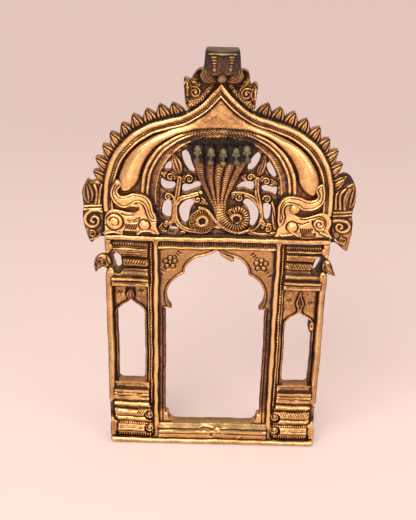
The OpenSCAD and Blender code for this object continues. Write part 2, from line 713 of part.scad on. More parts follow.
// Two coils of the tail, each a rounded ring about its eye, on a foot that
// stands on the lintel.
module coil(c, r) {
    translate([c[0], naga_back, beam_top + c[1]]) rotate([90, 0, 0]) rotate_extrude()
        polygon(concat([[coil_eye_r, 0], [r, 0]],
                       [for (k = [0:8]) [lerp(coil_eye_r, r, (1 + cos(22.5 * k)) / 2),
                                         vine_t + 2.2 * sin(22.5 * k)]]));
}
module naga_foot() {
    translate([-20, beam_top]) square([42, hood_h0]);
}
module coil_eyes() {
    for (c = [coil_left, coil_right])
        translate([c[0], front - 9, beam_top + c[1]]) rotate([-90, 0, 0])
            cylinder(h = 2 * frame_t, r = coil_eye_r);
}
module naga_coils() {
    color(brass) {
        coil(coil_left, coil_left_r);
        coil(coil_right, coil_right_r);
        difference() {
            slab(plate_front - 5, naga_back) tail_band();
            coil_eyes();
        }
        difference() {
            slab(plate_front - 1, naga_back) naga_foot();
            slab(front - 9, back + 9) {
                coil_discs();
                polygon(hood_outline);
            }
        }
    }
}

// Five hooded heads under the arch: a jewelled crown over a drooping snout.
head_x = [-14.8, -6, 2, 10.6, 17.6];
head_h = [65.4, 64, 63.6, 64.4, 65.8];
crown_r = 2.7;
neck_r = crown_r * 0.7;
socket_y = plate_front - 1;
module head_sockets() {
    for (k = [0:len(head_x) - 1])
        translate([head_x[k], socket_y, beam_top + head_h[k]]) rotate([90, 0, 0])
            cylinder(h = socket_y - hood_front(hood_h1) + 1, r = neck_r);
}
module naga_heads() {
    color(verdigris) {
        head_sockets();
        for (k = [0:len(head_x) - 1])
            translate([head_x[k], hood_front(hood_h1) - head_reach * 0.5, beam_top + head_h[k]]) naga_head();
    }
}
module naga_head() {
    difference() {
        union() {
            rotate([-90, 0, 0]) cylinder(h = head_reach * 0.5 - 0.8, r = neck_r);
            translate([0, 0, 1.4]) sphere(r = crown_r);
            rotate([145, 0, 0]) cylinder(h = 8, r1 = crown_r * 0.9, r2 = crown_r * 0.75);
        }
        rotate([145, 0, 0]) translate([0, 0, 6.4]) cylinder(h = 3, r = crown_r * 0.4);
    }
}

// Vines: a pierced plate between arch and naga, with raised stems, scrolls and
// leaves. Points are across from the middle and up from the lintel, for a
// tracery field of half width 43 and height 70.8.
vine_half_w = 43;
vine_h = 70.8;
vine_stems = [
    [[17.5, 3.6], [24.2, 6], [29, 11.5], [30.2, 18.5], [28.6, 25], [23.8, 29], [17.8, 30], [13.8, 28]],
    [[30, 18], [28.8, 27], [27.4, 35], [26.8, 41], [27.6, 46]],
    [[27.2, 39.5], [30.8, 44.2], [36.4, 44], [39, 43]],
    [[27.2, 39.5], [23.8, 44], [18.8, 43.8], [13, 41]],
    [[30.2, 24], [32.4, 29], [36.4, 30.6], [39, 30]],
    [[29.6, 12], [33.4, 11.4], [38.6, 9.4]]];
vine_scrolls = [[34, 41.4, 3.6], [20.6, 42.4, 3.4], [34.8, 27.4, 2.9], [14.8, 28.6, 3.2], [35.4, 7.6, 2.8]];
vine_leaves = [[27.6, 43, 31, 60, 7], [17.2, 29.4, 9, 33, 4.5]];
windows_left = [
    [[37.6, 46.8], [36.6, 50], [34.4, 52.6], [33, 52.8], [32.4, 50.2], [33, 46.9], [35.6, 46.2]],
    [[26.2, 59.4], [23.2, 60.9], [20.8, 58], [19.4, 53.6], [16.6, 46.8], [17, 45], [20.3, 45.7], [23.6, 50.4],
     [25.6, 55.1]],
    [[40, 40], [38.8, 40.6], [37.2, 39], [34.1, 38.1], [30.3, 37.8], [30, 34.4], [32.1, 32], [36.7, 31.9],
     [39.6, 34.2], [40.2, 37.6]],
    [[25.2, 32.2], [24.8, 35.9], [22.8, 37.2], [18.9, 36.7], [15, 39], [12.2, 37.5], [12.8, 34.3],
     [17.5, 32.3], [22.1, 30.7], [24.8, 30.8]],
    [[38, 23], [35.4, 25], [32.8, 24.1], [32.1, 20.4], [32.5, 14.7], [33.4, 11.3], [37.2, 11.8], [39, 14.5],
     [38.6, 18.8]],
    [[27.2, 14.8], [26.6, 19.8], [24, 23.9], [20, 26.1], [17.4, 25.2], [16.4, 22.2], [18.6, 19.3], [19.9, 15],
     [20.5, 9.6], [22.5, 7.2], [25.2, 9.2]],
    [[35.1, 2.2], [33.3, 4.4], [29.9, 5.2], [27.2, 3.6], [27, 2], [31, 1.6]]];
windows_right = [
    [[32.1, 52.2], [33.8, 53.4], [36.6, 50.4], [38.6, 46], [39.2, 43], [37.4, 42.2], [34.4, 45.2],
     [32.7, 49]],
    [[23.8, 58.2], [26.2, 60.1], [27.9, 57.6], [26.6, 52.4], [23.6, 47.7], [19.9, 47], [19.2, 50.2],
     [21.3, 54.9]],
    [[29.6, 35.8], [32, 37.1], [37, 36], [40.2, 36], [40.6, 33], [39.8, 29.4], [37.2, 30.8], [31.2, 32]],
    [[12.4, 35.4], [16.1, 38.8], [21.2, 40.2], [23.9, 38.3], [24.7, 34.5], [23, 32.5], [17.6, 34.1],
     [13.2, 33.6]],
    [[31.6, 23.3], [35.2, 24], [37.2, 22], [36.9, 16.4], [35.9, 11.6], [33.4, 10.8], [32.1, 16.3]],
    [[16.8, 23.7], [19.2, 26.8], [23.3, 25.5], [27.4, 21.1], [28.6, 16.2], [27.8, 10.6], [25.4, 5.6],
     [22.9, 6.9], [22, 11.7], [20.4, 18.8], [18.3, 21.6]]];
function in_field(p) = [p[0] * field_half_w / vine_half_w, p[1] * (field_spring + field_rise) / vine_h];
function in_vine(p) = [for (q = p) in_field([q[0], q[1]])];
module vine_relief() {
    for (p = vine_stems) polygon(strip(curve(in_vine(p), 4), vine_w, vine_w));
    for (s = vine_scrolls) translate(in_field(s)) circle(r = s[2]);
    for (l = vine_leaves) polygon(leaf(in_field(l), in_field([l[2], l[3]]), l[4]));
}
module vine(side, windows) {
    y0 = plate_front - 2;
    color(brass) difference() {
        intersection() {
            on_side(side) translate([0, 0, beam_top]) {
                slab(plate_front, naga_back) square([field_half_w, field_spring + field_rise]);
                slab(y0, plate_front) vine_relief();
                slab(y0 - 1.2, y0) for (s = vine_scrolls)
                    polygon(strip(spiral(in_field(s), s[2] - 0.6, 0.7, 60, 1.4, 20), 1.1, 0.9));
            }
            slab(front - 9, back + 9) polygon(field);
        }
        on_side(side) translate([0, 0, beam_top]) slab(front - 9, back + 9)
            for (p = windows) polygon(curve(in_vine(concat(p, [p[0]])), 4));
        slab(front - 9, back + 9) {
            coil_discs();
            polygon(hood_outline);
            nape();
            naga_foot();
        }
    }
}

// Crest

crest_outline = [[0, 22], [10, 21], [12.4, 17.2], [16, 17], [18.4, 12.6], [18.6, 8.6], [21.4, 9.8], [24, 8.6],
                 [23.4, 1], [22.6, -6]];
crest_foot = arch_point(90)[1] - 8.7;
module crest_leaf(side) {
    y1 = plate_front + petal_t;
    origin = [0, crest_foot];
    color(brass) on_side(side) difference() {
        union() {
            slab(plate_front, y1)
                polygon(concat(arch_run(petal_a1, 90), at(origin, crest_outline)));
            slab(plate_front - relief, plate_front) {
                polygon(strip(spiral(origin + [17.2, 2.4], 4.4, 0.9, 20, 1.5), 1.5, 1.1));
                polygon(leaf(origin + [15.4, 9], origin + [16, 17], 3.4));
            }
        }
        on_side(side) rivet_holes();
    }
}

// The lion mask: a tapered drum with a flat top, stepped eyes, full jaws and a
// ball nose.
module lion_mask() {
    foot = crest_foot + 8.6;
    neck = foot + mask_h * 0.32;
    y = plate_front - relief - 0.2;
    color(brass_dark) difference() {
        union() {
            translate([0, y - 4, neck]) cylinder(h = mask_h - (neck - foot), r1 = mask_r, r2 = mask_top_r);
            for (s = [-1, 1]) {
                translate([s * 6.8, y - 6.5, foot + mask_h * 0.25]) sphere(r = 6.6);
                for (k = [0:2]) translate([s * 5.6, y - 2 - mask_r * 0.72, neck + 4 + 2.6 * k])
                    rotate([90, 0, 0]) cylinder(h = 3.2 - 0.7 * (2 - k), r = 2.9 - 0.4 * (2 - k));
                translate([s * 5.6, y - 5 - mask_r * 0.72, neck + 3]) sphere(r = 1.7);
            }
            translate([0, y - 12.5, foot + mask_h * 0.24]) sphere(r = 2.9);
            translate([0, y - 8, foot + mask_h * 0.34]) rotate([60, 0, 0])
                cylinder(h = 6, r1 = 3.4, r2 = 2.2);
        }
        translate([-2 * mask_r, y, foot - mask_h])
            cube([4 * mask_r, 2 * mask_r, 3 * mask_h]);
        rivet_holes();
    }
}

// Joinery

module dowel_holes() {
    for (side = [-1, 1])
        translate([side * pier_mid, plate_front + plate_t / 2, post_top - dowel_down])
            cylinder(h = dowel_down + beam_h + dowel_up, r = dowel_r);
}
module arch_dowels() {
    color(brass_dark) dowel_holes();
}

// Rivets: across from the middle, up from the lintel, and the ornament's front.
rivet_places = [[half_w - yali_hip[0], yali_hip[1]], [half_w - yali_knee[0], yali_knee[1]],
                roll_mid(42) - [0, beam_top]];
mask_rivet = crest_foot + 15;
module rivet_holes() {
    for (side = [-1, 1]) for (p = rivet_places)
        translate([side * p[0], plate_front - rivet_bite, beam_top + p[1]])
            rotate([-90, 0, 0]) cylinder(h = plate_t + rivet_bite, r = rivet_r);
    for (side = [-1, 1])
        translate([side * 5, plate_front - relief - rivet_bite, mask_rivet]) rotate([-90, 0, 0])
            cylinder(h = petal_t + relief + rivet_bite, r = rivet_r);
}
module rear_rivets() {
    color(brass_dark) rivet_holes();
}

base_bar();
lintel_beam();
inner_post(-1);  // left_inner_post
inner_post(1);  // right_inner_post
outer_post(-1);  // left_outer_post
outer_post(1);  // right_outer_post
bead_strip(-1);  // left_bead_strip
bead_strip(1);  // right_bead_strip
portal_panel();
sill_moulding();
frieze_strip();
niche_panel(-1, niche_gap_left, bud_left);  // left_niche_panel
niche_panel(1, niche_gap_right, bud_right);  // right_niche_panel
base_moulding(-1);  // left_base_moulding
base_moulding(1);  // right_base_moulding
capital_moulding(-1);  // left_capital_moulding
capital_moulding(1);  // right_capital_moulding
bird_bracket(-1, bird_left);  // left_bird_bracket
bird_bracket(1, bird_right);  // right_bird_bracket
arch_plate();
arch_outer_rim();
arch_inner_rim();
arch_roll();
petal_row(-1);  // left_petal_row
petal_row(1);  // right_petal_row
wing_scroll(-1);  // left_wing_scroll
wing_scroll(1);  // right_wing_scroll
yali(-1);  // left_yali
yali(1);  // right_yali
naga_hood();
naga_coils();
naga_heads();
vine(-1, windows_left);  // left_vine
vine(1, windows_right);  // right_vine
crest_leaf(-1);  // left_crest_leaf
crest_leaf(1);  // right_crest_leaf
lion_mask();
arch_dowels();
rear_rivets();
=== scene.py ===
"""Brass prabhavali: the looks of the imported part, as numpy surfaces over its CAD frame.

Lengths are in millimetres until a mesh is made. The front faces -Y and up is +Z.
"""

import json
import math
from functools import partial
from types import SimpleNamespace

import bpy
import numpy as np
from mathutils import Matrix, Vector

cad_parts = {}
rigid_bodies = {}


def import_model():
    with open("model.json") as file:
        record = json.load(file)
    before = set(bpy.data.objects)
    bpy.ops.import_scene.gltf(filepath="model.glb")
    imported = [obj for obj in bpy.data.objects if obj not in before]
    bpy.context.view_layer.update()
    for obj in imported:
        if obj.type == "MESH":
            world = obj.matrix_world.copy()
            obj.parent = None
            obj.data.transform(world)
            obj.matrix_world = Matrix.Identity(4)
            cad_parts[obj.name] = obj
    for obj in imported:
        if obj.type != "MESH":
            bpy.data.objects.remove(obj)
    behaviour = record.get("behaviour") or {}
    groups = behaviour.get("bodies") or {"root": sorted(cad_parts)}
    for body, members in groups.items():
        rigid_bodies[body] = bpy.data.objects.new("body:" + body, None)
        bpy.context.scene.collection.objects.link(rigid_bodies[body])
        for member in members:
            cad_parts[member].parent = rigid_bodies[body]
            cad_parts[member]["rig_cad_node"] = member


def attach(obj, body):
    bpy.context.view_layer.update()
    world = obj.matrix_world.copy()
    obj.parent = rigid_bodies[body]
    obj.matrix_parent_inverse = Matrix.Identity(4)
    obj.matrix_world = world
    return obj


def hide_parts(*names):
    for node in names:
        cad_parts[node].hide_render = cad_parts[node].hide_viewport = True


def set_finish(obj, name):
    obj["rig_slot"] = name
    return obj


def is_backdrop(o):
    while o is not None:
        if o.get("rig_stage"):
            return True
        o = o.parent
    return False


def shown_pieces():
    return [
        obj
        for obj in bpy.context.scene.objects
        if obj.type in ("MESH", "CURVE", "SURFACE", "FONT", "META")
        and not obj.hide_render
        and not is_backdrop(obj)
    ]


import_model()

bl_info = {
    "name": "Brass prabhavali",
    "version": (1, 0, 0),
    "blender": (4, 2, 0),
    "location": "View3D > Sidebar > Prabhavali",
    "description": "Builds the visual model of a brass prabhavali over its CAD frame",
    "category": "Object",
}

MM = 0.001

# Half of the base bar's depth; the camera's place across and up, and its distance from the base bar's front.
BASE_HALF = 11
EYE = (-6.2, 382.2)
EYE_REACH = 518

# A pier from below: the scroll block's height over the base bar, the top of the base moulding, the height of
# the slope under the niche, and the foot of the capital moulding.
BLOCK_H = 29
BASE_TOP = 47.8
SLOPE_H = 5.2
CAPITAL_FOOT = 135.0

# Heights over the lintel between which the naga's hood spreads, and a height just over the tracery field.
HOOD_FOOT, HOOD_TOP = 6, 63
FIELD_TOP = 246

# Half width that the wings keep within.
WING_REACH = 94.7

# Half width and height at which the slow shift of the hand-made mould has faded out.
STILL_X, STILL_Z = 94.2, 303


def rgb(text):
    """A hex colour as linear red, green, blue and alpha."""
    parts = [int(text[k:k + 2], 16) / 255 for k in (1, 3, 5)]
    return [c / 12.92 if c <= 0.04045 else ((c + 0.055) / 1.055) ** 2.4 for c in parts] + [1.0]


def length(name, text, size):
    """A length property, given in millimetres."""
    return bpy.props.FloatProperty(name=name, description=text, default=size * MM, unit="LENGTH", precision=4)


def colour(name, text, value):
    """A colour property, given as a hex colour."""
    return bpy.props.FloatVectorProperty(name=name, description=text, default=rgb(value), size=4,
                                         subtype="COLOR", min=0.0, max=1.0)


class PRABHAVALI_PG_frame(bpy.types.PropertyGroup):
    """Sizes of the lower frame and its panels."""

    half_w: length("Half width", "From the middle to the outer posts' outer sides", 79.3)
    base_h: length("Base height", "Height of the base bar", 5)
    base_half: length("Base half depth", "Half of the base bar's depth", BASE_HALF)
    post_half: length("Post half depth", "Half of the posts' depth", 8)
    post_top: length("Post top", "Height of the posts' tops", 170.5)
    beam_top: length("Lintel top", "Height of the lintel's top", 174.2)
    beam_half: length("Lintel half depth", "Half of the lintel's depth", 9.5)
    bay_half: length("Portal half width", "From the middle to the inner posts", 41.8)
    inner_w: length("Inner post width", "Width of an inner post", 3.2)
    strip_w: length("Bead strip width", "Width of a bead strip", 4)
    outer_w: length("Outer post width", "Width of an outer post", 4.5)
    panel: length("Panel recess", "Distance of the panels' faces in front of the middle plane", 3)
    opening_half: length("Opening half width", "Half of the portal's clear width", 36.5)
    spring: length("Portal springing", "Height of the cusped arch's springing", 116)
    cusp_rise: length("Cusped arch rise", "Rise of the cusped arch", 46.2)
    niche_half: length("Niche half width", "Half of a niche's clear width", 10)
    niche_foot: length("Niche foot", "Height of the niches' sills", 53)
    niche_rise: length("Niche rise", "Rise of the ogee over a niche", 11.3)
    bead: length("Bead pitch", "Distance from bead to bead", 1.8)


class PRABHAVALI_PG_arch(bpy.types.PropertyGroup):
    """Sizes of the arch and the ornament on it."""

    spring: length("Arch springing", "Height of the arch's widest point", 195.2)
    rise: length("Arch rise", "Rise of the arch without its ogee tip", 65.3)
    ogee: length("Ogee rise", "Rise of the ogee tip", 21.5)
    ogee_half: length("Ogee half width", "Half of the ogee tip's width", 30)
    field_half: length("Field half width", "Half of the tracery field's width", 43)
    field_spring: length("Field springing", "Height of the tracery field's springing", 203)
    field_rise: length("Field rise", "Rise of the tracery field", 42)
    rim: length("Outer rim width", "Width of the outer rim", 7)
    inner_w: length("Inner rim width", "Width of the inner rim at its feet", 11)
    inner_crown: length("Inner rim crown", "Width of the inner rim at its crown", 6)
    plate: length("Plate recess", "Distance of the plate's face in front of the middle plane", 2)
    back: length("Ornament back", "Distance of the ornament's back behind the middle plane", 3)
    petal: length("Petal height", "Height of a petal over the arch's edge", 9.8)
    hatch: length("Hatch pitch", "Distance between hatch lines", 1.7)


class PRABHAVALI_PG_finish(bpy.types.PropertyGroup):
    """Colours of the aged brass."""

    # The brown and black tones also stand for painted shade in recesses, and the rubbed tone for the painted
    # highlight on faces turned up.
    bright: colour("Rubbed brass", "Brass on rubbed ridges and painted highlight on faces turned up", "#F4CC8E")
    gold: colour("Gold brass", "Brass on the plain faces", "#C79A62")
    brown: colour("Brown patina", "Patina and painted shade in shallow hollows", "#64392A")
    black: colour("Black patina", "Soot, oil and painted shade in the deep hollows", "#1E1512")
    green: colour("Verdigris", "Grey-green bloom on the heads and the mask", "#7F8A68")
    floor: colour("Floor", "Pale studio floor", "#F1DCD6")


class PRABHAVALI_PG_stage(bpy.types.PropertyGroup):
    """Camera and light of the studio."""

    eye_x: length("Camera across", "The camera's place across the object", EYE[0])
    eye_y: length("Camera distance", "The camera's place in front of the object", -EYE_REACH - BASE_HALF)
    eye_z: length("Camera height", "The camera's height", EYE[1])
    lens: bpy.props.FloatProperty(name="Focal length", description="Lens of the camera", default=55.4,
                                  unit="CAMERA")
    pitch: bpy.props.FloatProperty(name="Pitch", description="How far the camera looks down",
                                   default=math.radians(23.4), subtype="ANGLE")
    roll: bpy.props.FloatProperty(name="Roll", description="Turn of the camera about its sight line",
                                  default=math.radians(1.35), subtype="ANGLE")
    key: bpy.props.FloatProperty(name="Key light", description="Power of the key light", default=10.6,
                                 unit="POWER")
    fill: bpy.props.FloatProperty(name="Fill light", description="Power of each fill light", default=4.2,
                                  unit="POWER")


def sizes(name):
    """A property group's lengths in millimetres."""
    group = getattr(bpy.context.scene, "prabhavali_" + name)
    return SimpleNamespace(**{k: getattr(group, k) / MM for k in group.__annotations__})


# Small tools on arrays

def smooth(low, high, v):
    """0 below low, 1 above high, and an S curve between."""
    t = np.clip((np.asarray(v, float) - low) / (high - low), 0, 1)
    return t * t * (3 - 2 * t)


def bell(v, at, width, power=2):
    """1 at a value, falling to 0 on both sides of it: a Gauss curve, with a flat top for a power of 4."""
    return np.exp(-((v - at) / width) ** power)


def half_round(u):
    """Height of a half circle over u from -1 to 1, and 0 beyond."""
    return np.sqrt(np.clip(1 - u ** 2, 0, 1))


def quarter_round(u):
    """Height of a quarter circle that rises from u = 0 and stays level after u = 1."""
    return np.sqrt(1 - (1 - np.clip(u, 0, 1)) ** 2)


def peaks(run, pitch):
    """1 at every pitch along a run and 0 midway: a raised cosine."""
    return 0.5 + 0.5 * np.cos(2 * np.pi * run / pitch)


def dips(run, pitch):
    """0 at every pitch along a run and 1 midway: a raised cosine."""
    return 0.5 - 0.5 * np.cos(2 * np.pi * run / pitch)


def apart(x, z, point):
    """Distance of each grid point from one point."""
    return np.hypot(x - point[0], z - point[1])


def wobble(x, z, scale=1.0):
    """A gentle uneven field from -1 to 1, as of a hand-made mould: a sum of crossed sines."""
    return (np.sin(0.23 * x / scale + 1.1) * np.sin(0.19 * z / scale + 0.4)
            + 0.6 * np.sin(0.51 * x / scale - 0.37 * z / scale + 2.0)
            + 0.4 * np.sin(0.83 * z / scale + 0.29 * x / scale + 0.9)) / 2


def through(points, n=6):
    """A smooth curve through the points: Catmull-Rom, n steps between each pair."""
    p = np.asarray(points, float)
    q = np.vstack([2 * p[0] - p[1], p, 2 * p[-1] - p[-2]])
    t = np.linspace(0, 1, n, endpoint=False)[:, None]
    runs = [0.5 * (2 * b + (c - a) * t + (2 * a - 5 * b + 4 * c - d) * t ** 2
                   + (3 * b - a - 3 * c + d) * t ** 3)
            for a, b, c, d in zip(q, q[1:], q[2:], q[3:])]
    return np.vstack(runs + [p[-1:]])


def closed(points, n):
    """A smooth closed curve through the points, n steps between each pair."""
    return through(np.vstack([points, points[:1]]), n)[:-1]


def seen(points, recess):
    """True places of points read on the plane of the base bar's front, for a plane set back by recess."""
    eye, s = np.array(EYE), (EYE_REACH + recess) / EYE_REACH
    return eye + (np.asarray(points, float) - eye) * s


def spiral_path(centre, r0, r1, start, turns, n=40):
    """A spiral about a centre: the radius goes from r0 to r1 as the angle runs."""
    t = np.linspace(0, 1, n)
    a, r = np.radians(start) + 2 * np.pi * turns * t, r0 + (r1 - r0) * t
    return np.stack([centre[0] + r * np.cos(a), centre[1] + r * np.sin(a)], -1)


def near(x, z, path):
    """Distance of each grid point from a path of straight pieces, and the share of its length there."""
    path = np.asarray(path, float)
    steps = np.hypot(*np.diff(path, axis=0).T)
    run = np.concatenate([[0], np.cumsum(steps)]) / max(steps.sum(), 1e-9)
    best, share = np.full(x.shape, 1e9), np.zeros(x.shape)
    for a, b, s0, s1 in zip(path[:-1], path[1:], run[:-1], run[1:]):
        d = b - a
        t = np.clip(((x - a[0]) * d[0] + (z - a[1]) * d[1]) / max(d @ d, 1e-12), 0, 1)
        dist = np.hypot(x - a[0] - t * d[0], z - a[1] - t * d[1])
        share = np.where(dist < best, s0 + (s1 - s0) * t, share)
        best = np.minimum(best, dist)
    return best, share


def outline(x, z, points):
    """Signed distance from a closed outline, negative inside it."""
    ring = np.vstack([points, points[:1]])
    inside = np.zeros(x.shape, bool)
    for (ax, az), (bx, bz) in zip(ring[:-1], ring[1:]):
        if az != bz:
            inside ^= ((az > z) != (bz > z)) & (x < (bx - ax) * (z - az) / (bz - az) + ax)
    dist = near(x, z, ring)[0]
    return np.where(inside, -dist, dist)


def box(x, z, x0, z0, x1, z1):
    """Signed distance from an upright rectangle, negative inside it."""
    return np.maximum(np.abs(x - (x0 + x1) / 2) - (x1 - x0) / 2, np.abs(z - (z0 + z1) / 2) - (z1 - z0) / 2)


# Closed skins: vertices and groups of faces

def skin(verts, *groups):
    """A closed skin, with its faces turned outward by the sign of its volume."""
    verts, volume = np.asarray(verts, float), 0.0
    groups = [np.asarray(f, int) for f in groups if len(f)]
    for f in groups:
        p = verts[f]
        for k in range(1, f.shape[1] - 1):
            volume += np.einsum("ij,ij->", p[:, 0], np.cross(p[:, k], p[:, k + 1]))
    return verts, [f[:, ::-1] for f in groups] if volume < 0 else groups


def join(*parts):
    """Several skins as one."""
    groups, base = {3: [], 4: []}, 0
    for verts, faces in parts:
        for f in faces:
            groups[f.shape[1]].append(f + base)
        base += len(verts)
    return np.concatenate([v for v, _ in parts]), [np.concatenate(g) for g in groups.values() if g]


def mirrored(part, side):
    """The skin on the right (1) or mirrored to the left (-1)."""
    return skin(part[0] * np.array([side, 1, 1]), *part[1])


def plate(x, z, front, back, keep=None):
    """A sheet over a grid of x and z: its front and back are given as y, and walls close its borders.

    keep says which grid points are used; a cell needs all four of its corners."""
    n = x.size
    keep = np.ones(x.shape, bool) if keep is None else keep
    cell = keep[:-1, :-1] & keep[1:, :-1] & keep[1:, 1:] & keep[:-1, 1:]
    ids = np.arange(n).reshape(x.shape)
    quads = np.stack([ids[:-1, :-1], ids[1:, :-1], ids[1:, 1:], ids[:-1, 1:]], -1)[cell]
    edges = np.concatenate([quads[:, [k, (k + 1) % 4]] for k in range(4)])
    code = edges.min(1) * n + edges.max(1)
    _, first, count = np.unique(code, return_index=True, return_counts=True)
    rim = edges[first[count == 1]]
    walls = np.stack([rim[:, 1], rim[:, 0], rim[:, 0] + n, rim[:, 1] + n], -1)
    faces = np.concatenate([quads, quads[:, ::-1] + n, walls])
    y0, y1 = np.broadcast_to(front, x.shape), np.broadcast_to(back, x.shape)
    verts = np.concatenate([np.stack([x, y, z], -1).reshape(-1, 3) for y in (y0, y1)])
    used, packed = np.unique(faces, return_inverse=True)
    return skin(verts[used], packed.reshape(-1, 4))


def loft(rings):
    """A skin through closed rings of points, with a fan to the middle of each end ring."""
    rings = np.asarray(rings, float)
    n, m = rings.shape[:2]
    ids = np.arange(n * m).reshape(n, m)
    turn = np.roll(ids, -1, axis=1)
    quads = np.stack([ids[:-1], turn[:-1], turn[1:], ids[1:]], -1).reshape(-1, 4)
    ends = [np.stack([turn[0], ids[0], np.full(m, n * m)], -1),
            np.stack([ids[-1], turn[-1], np.full(m, n * m + 1)], -1)]
    verts = np.vstack([rings.reshape(-1, 3), rings[0].mean(0), rings[-1].mean(0)])
    return skin(verts, quads, np.concatenate(ends))


def strip(x, y, z, back):
    """A skin of rows that run across a strip: x, y and z of its face, and a flat back."""
    face = np.stack([x, np.broadcast_to(y, x.shape), z], -1)
    rear = face[:, [-1, 0]].copy()
    rear[:, :, 1] = back
    return loft(np.concatenate([face, rear], 1))


def sphere(n):
    """Points of a unit sphere as n rings of latitude, open at the poles."""
    lat = np.linspace(-np.pi / 2 + 0.08, np.pi / 2 - 0.08, n)[:, None]
    lon = np.linspace(0, 2 * np.pi, 2 * n, endpoint=False)[None, :]
    return np.cos(lat) * np.cos(lon), np.cos(lat) * np.sin(lon), np.sin(lat) + 0 * lon


def ball(centre, radii, tilt=0.0, n=18):
    """An ellipsoid about a centre, tilted about X by degrees: rings of latitude."""
    x, y, z = [r * v for r, v in zip(radii, sphere(n))]
    c, s = math.cos(math.radians(tilt)), math.sin(math.radians(tilt))
    return loft(np.stack([centre[0] + x, centre[1] + c * y - s * z, centre[2] + s * y + c * z], -1))


def tube(path, radii, n=20):
    """A round tube along a path in the YZ direction: rings square to the path, one radius for each point."""
    p = np.asarray(path, float)
    t = np.gradient(p, axis=0)
    t /= np.linalg.norm(t, axis=1, keepdims=True)
    side = np.array([1.0, 0, 0])
    up = np.cross(t, side)
    a = np.linspace(0, 2 * np.pi, n, endpoint=False)
    r = np.asarray(radii, float)[:, None, None]
    return loft(p[:, None] + r * (np.cos(a)[None, :, None] * side + np.sin(a)[None, :, None] * up[:, None]))


class Carving:
    """A relief over a grid in X and Z: an outline as a signed distance, and a height before its plane."""

    def __init__(self, low, high, step=0.36):
        xs = np.arange(low[0] - 2 * step, high[0] + 2.5 * step, step)
        zs = np.arange(low[1] - 2 * step, high[1] + 2.5 * step, step)
        self.step = step
        self.x, self.z = np.meshgrid(xs, zs, indexing="ij")
        self.edge = np.full(self.x.shape, 1e3)
        self.height = np.zeros(self.x.shape)

    @classmethod
    def panel(cls, low, high, step):
        """A carving whose outline is the rectangle from low to high."""
        c = cls(low, high, step)
        c.add(box(c.x, c.z, *low, *high))
        return c

    @classmethod
    def shaped(cls, points, step):
        """A carving whose outline is a closed curve of points."""
        c = cls(points.min(0), points.max(0), step)
        c.add(outline(c.x, c.z, points))
        return c

    def add(self, edge):
        """Adds a shape to the outline."""
        self.edge = np.minimum(self.edge, edge)

    def cut(self, edge):
        """Cuts a shape out of the outline."""
        self.edge = np.maximum(self.edge, -edge)

    def add_stroke(self, path, w0, w1=None):
        """Adds a strip of changing width along a path."""
        dist, share = near(self.x, self.z, path)
        self.add(dist - (w0 + ((w0 if w1 is None else w1) - w0) * share) / 2)

    def raise_to(self, height, where):
        """Lifts the relief to a height in a region."""
        self.height = np.where(where, np.maximum(self.height, height), self.height)

    def soften(self, r, drop):
        """Rounds the relief down to its outline: a quarter ellipse of width r and height drop."""
        self.height = self.height - drop * (1 - quarter_round(-self.edge / r))

    def ridge(self, path, width, height, tip=None, base=0.0, lines=(), power=2.0):
        """A half-round stroke along a path; each line is a groove at a share of its half width.

        A power over 2 flattens the stroke's back."""
        dist, share = near(self.x, self.z, path)
        u = dist / ((width + ((width if tip is None else tip) - width) * share) / 2)
        h = base + height * np.clip(1 - np.minimum(u, 1) ** power, 0, 1) ** (1 / power)
        for at, depth in lines:
            h = h - depth * bell(u, at, 0.1)
        self.raise_to(h, u < 1)

    def groove(self, path, width, depth):
        """A rounded cut along a path."""
        self.height = self.height - depth * np.exp(-(2 * near(self.x, self.z, path)[0] / width) ** 2)

    def ring(self, centre, r, width, depth):
        """A rounded cut round a circle; a negative depth raises it."""
        d = apart(self.x, self.z, centre) - r
        self.height = self.height - depth * np.exp(-(2 * d / width) ** 2)

    def dome(self, centre, r, height, base=0.0):
        """A round boss: half an ellipsoid on the base height."""
        u = apart(self.x, self.z, centre) / r
        self.raise_to(base + height * half_round(u), u < 1)

    def leaf(self, foot, tip, width, height, base=0.0, rings=1.5):
        """A pointed leaf with nested ridges: a sine outline, and a cosine across it."""
        foot, d = np.asarray(foot, float), np.asarray(tip, float) - np.asarray(foot, float)
        size = math.hypot(*d)
        along = ((self.x - foot[0]) * d[0] + (self.z - foot[1]) * d[1]) / size ** 2
        across = np.abs((self.x - foot[0]) * d[1] - (self.z - foot[1]) * d[0]) / size
        t = np.clip(along, 1e-6, 1 - 1e-6)
        half = width / 2 * np.sin(np.pi * t ** 0.8) ** 0.8
        u = across / np.maximum(half, 1e-3)
        h = base + height * (1 - 0.35 * u - 0.4 * (0.5 - 0.5 * np.cos(2 * np.pi * rings * u)))
        self.raise_to(h, (u < 1) & (along > 0) & (along < 1))

    def curl(self, centre, r0, r1, start, turns, width, height, base=0.0):
        """A raised spiral."""
        self.ridge(spiral_path(centre, r0, r1, start, turns), width, height, width * 0.7, base)

    def hatch(self, where, run, pitch, depth):
        """Even cuts across a run inside a region, deepest in the middle of each."""
        self.height = self.height - np.where(where, depth * dips(run, pitch) ** 2, 0)

    def skin(self, front, back):
        """The relief as a closed skin: y is front minus the height.

        The grid points beside the outline are moved on to it."""
        gx, gz = np.gradient(self.edge, self.step)
        beside = 0.7 * self.step
        pull = np.where(np.abs(self.edge) < beside, self.edge / (gx ** 2 + gz ** 2 + 1e-6), 0)
        pull = np.clip(pull, -self.step, self.step)
        x, z = self.x - pull * gx, self.z - pull * gz
        y = np.minimum(front - self.height, back - 0.6)
        return plate(x, z, y, back + 0.12 * wobble(x, z, 0.7), self.edge < beside)


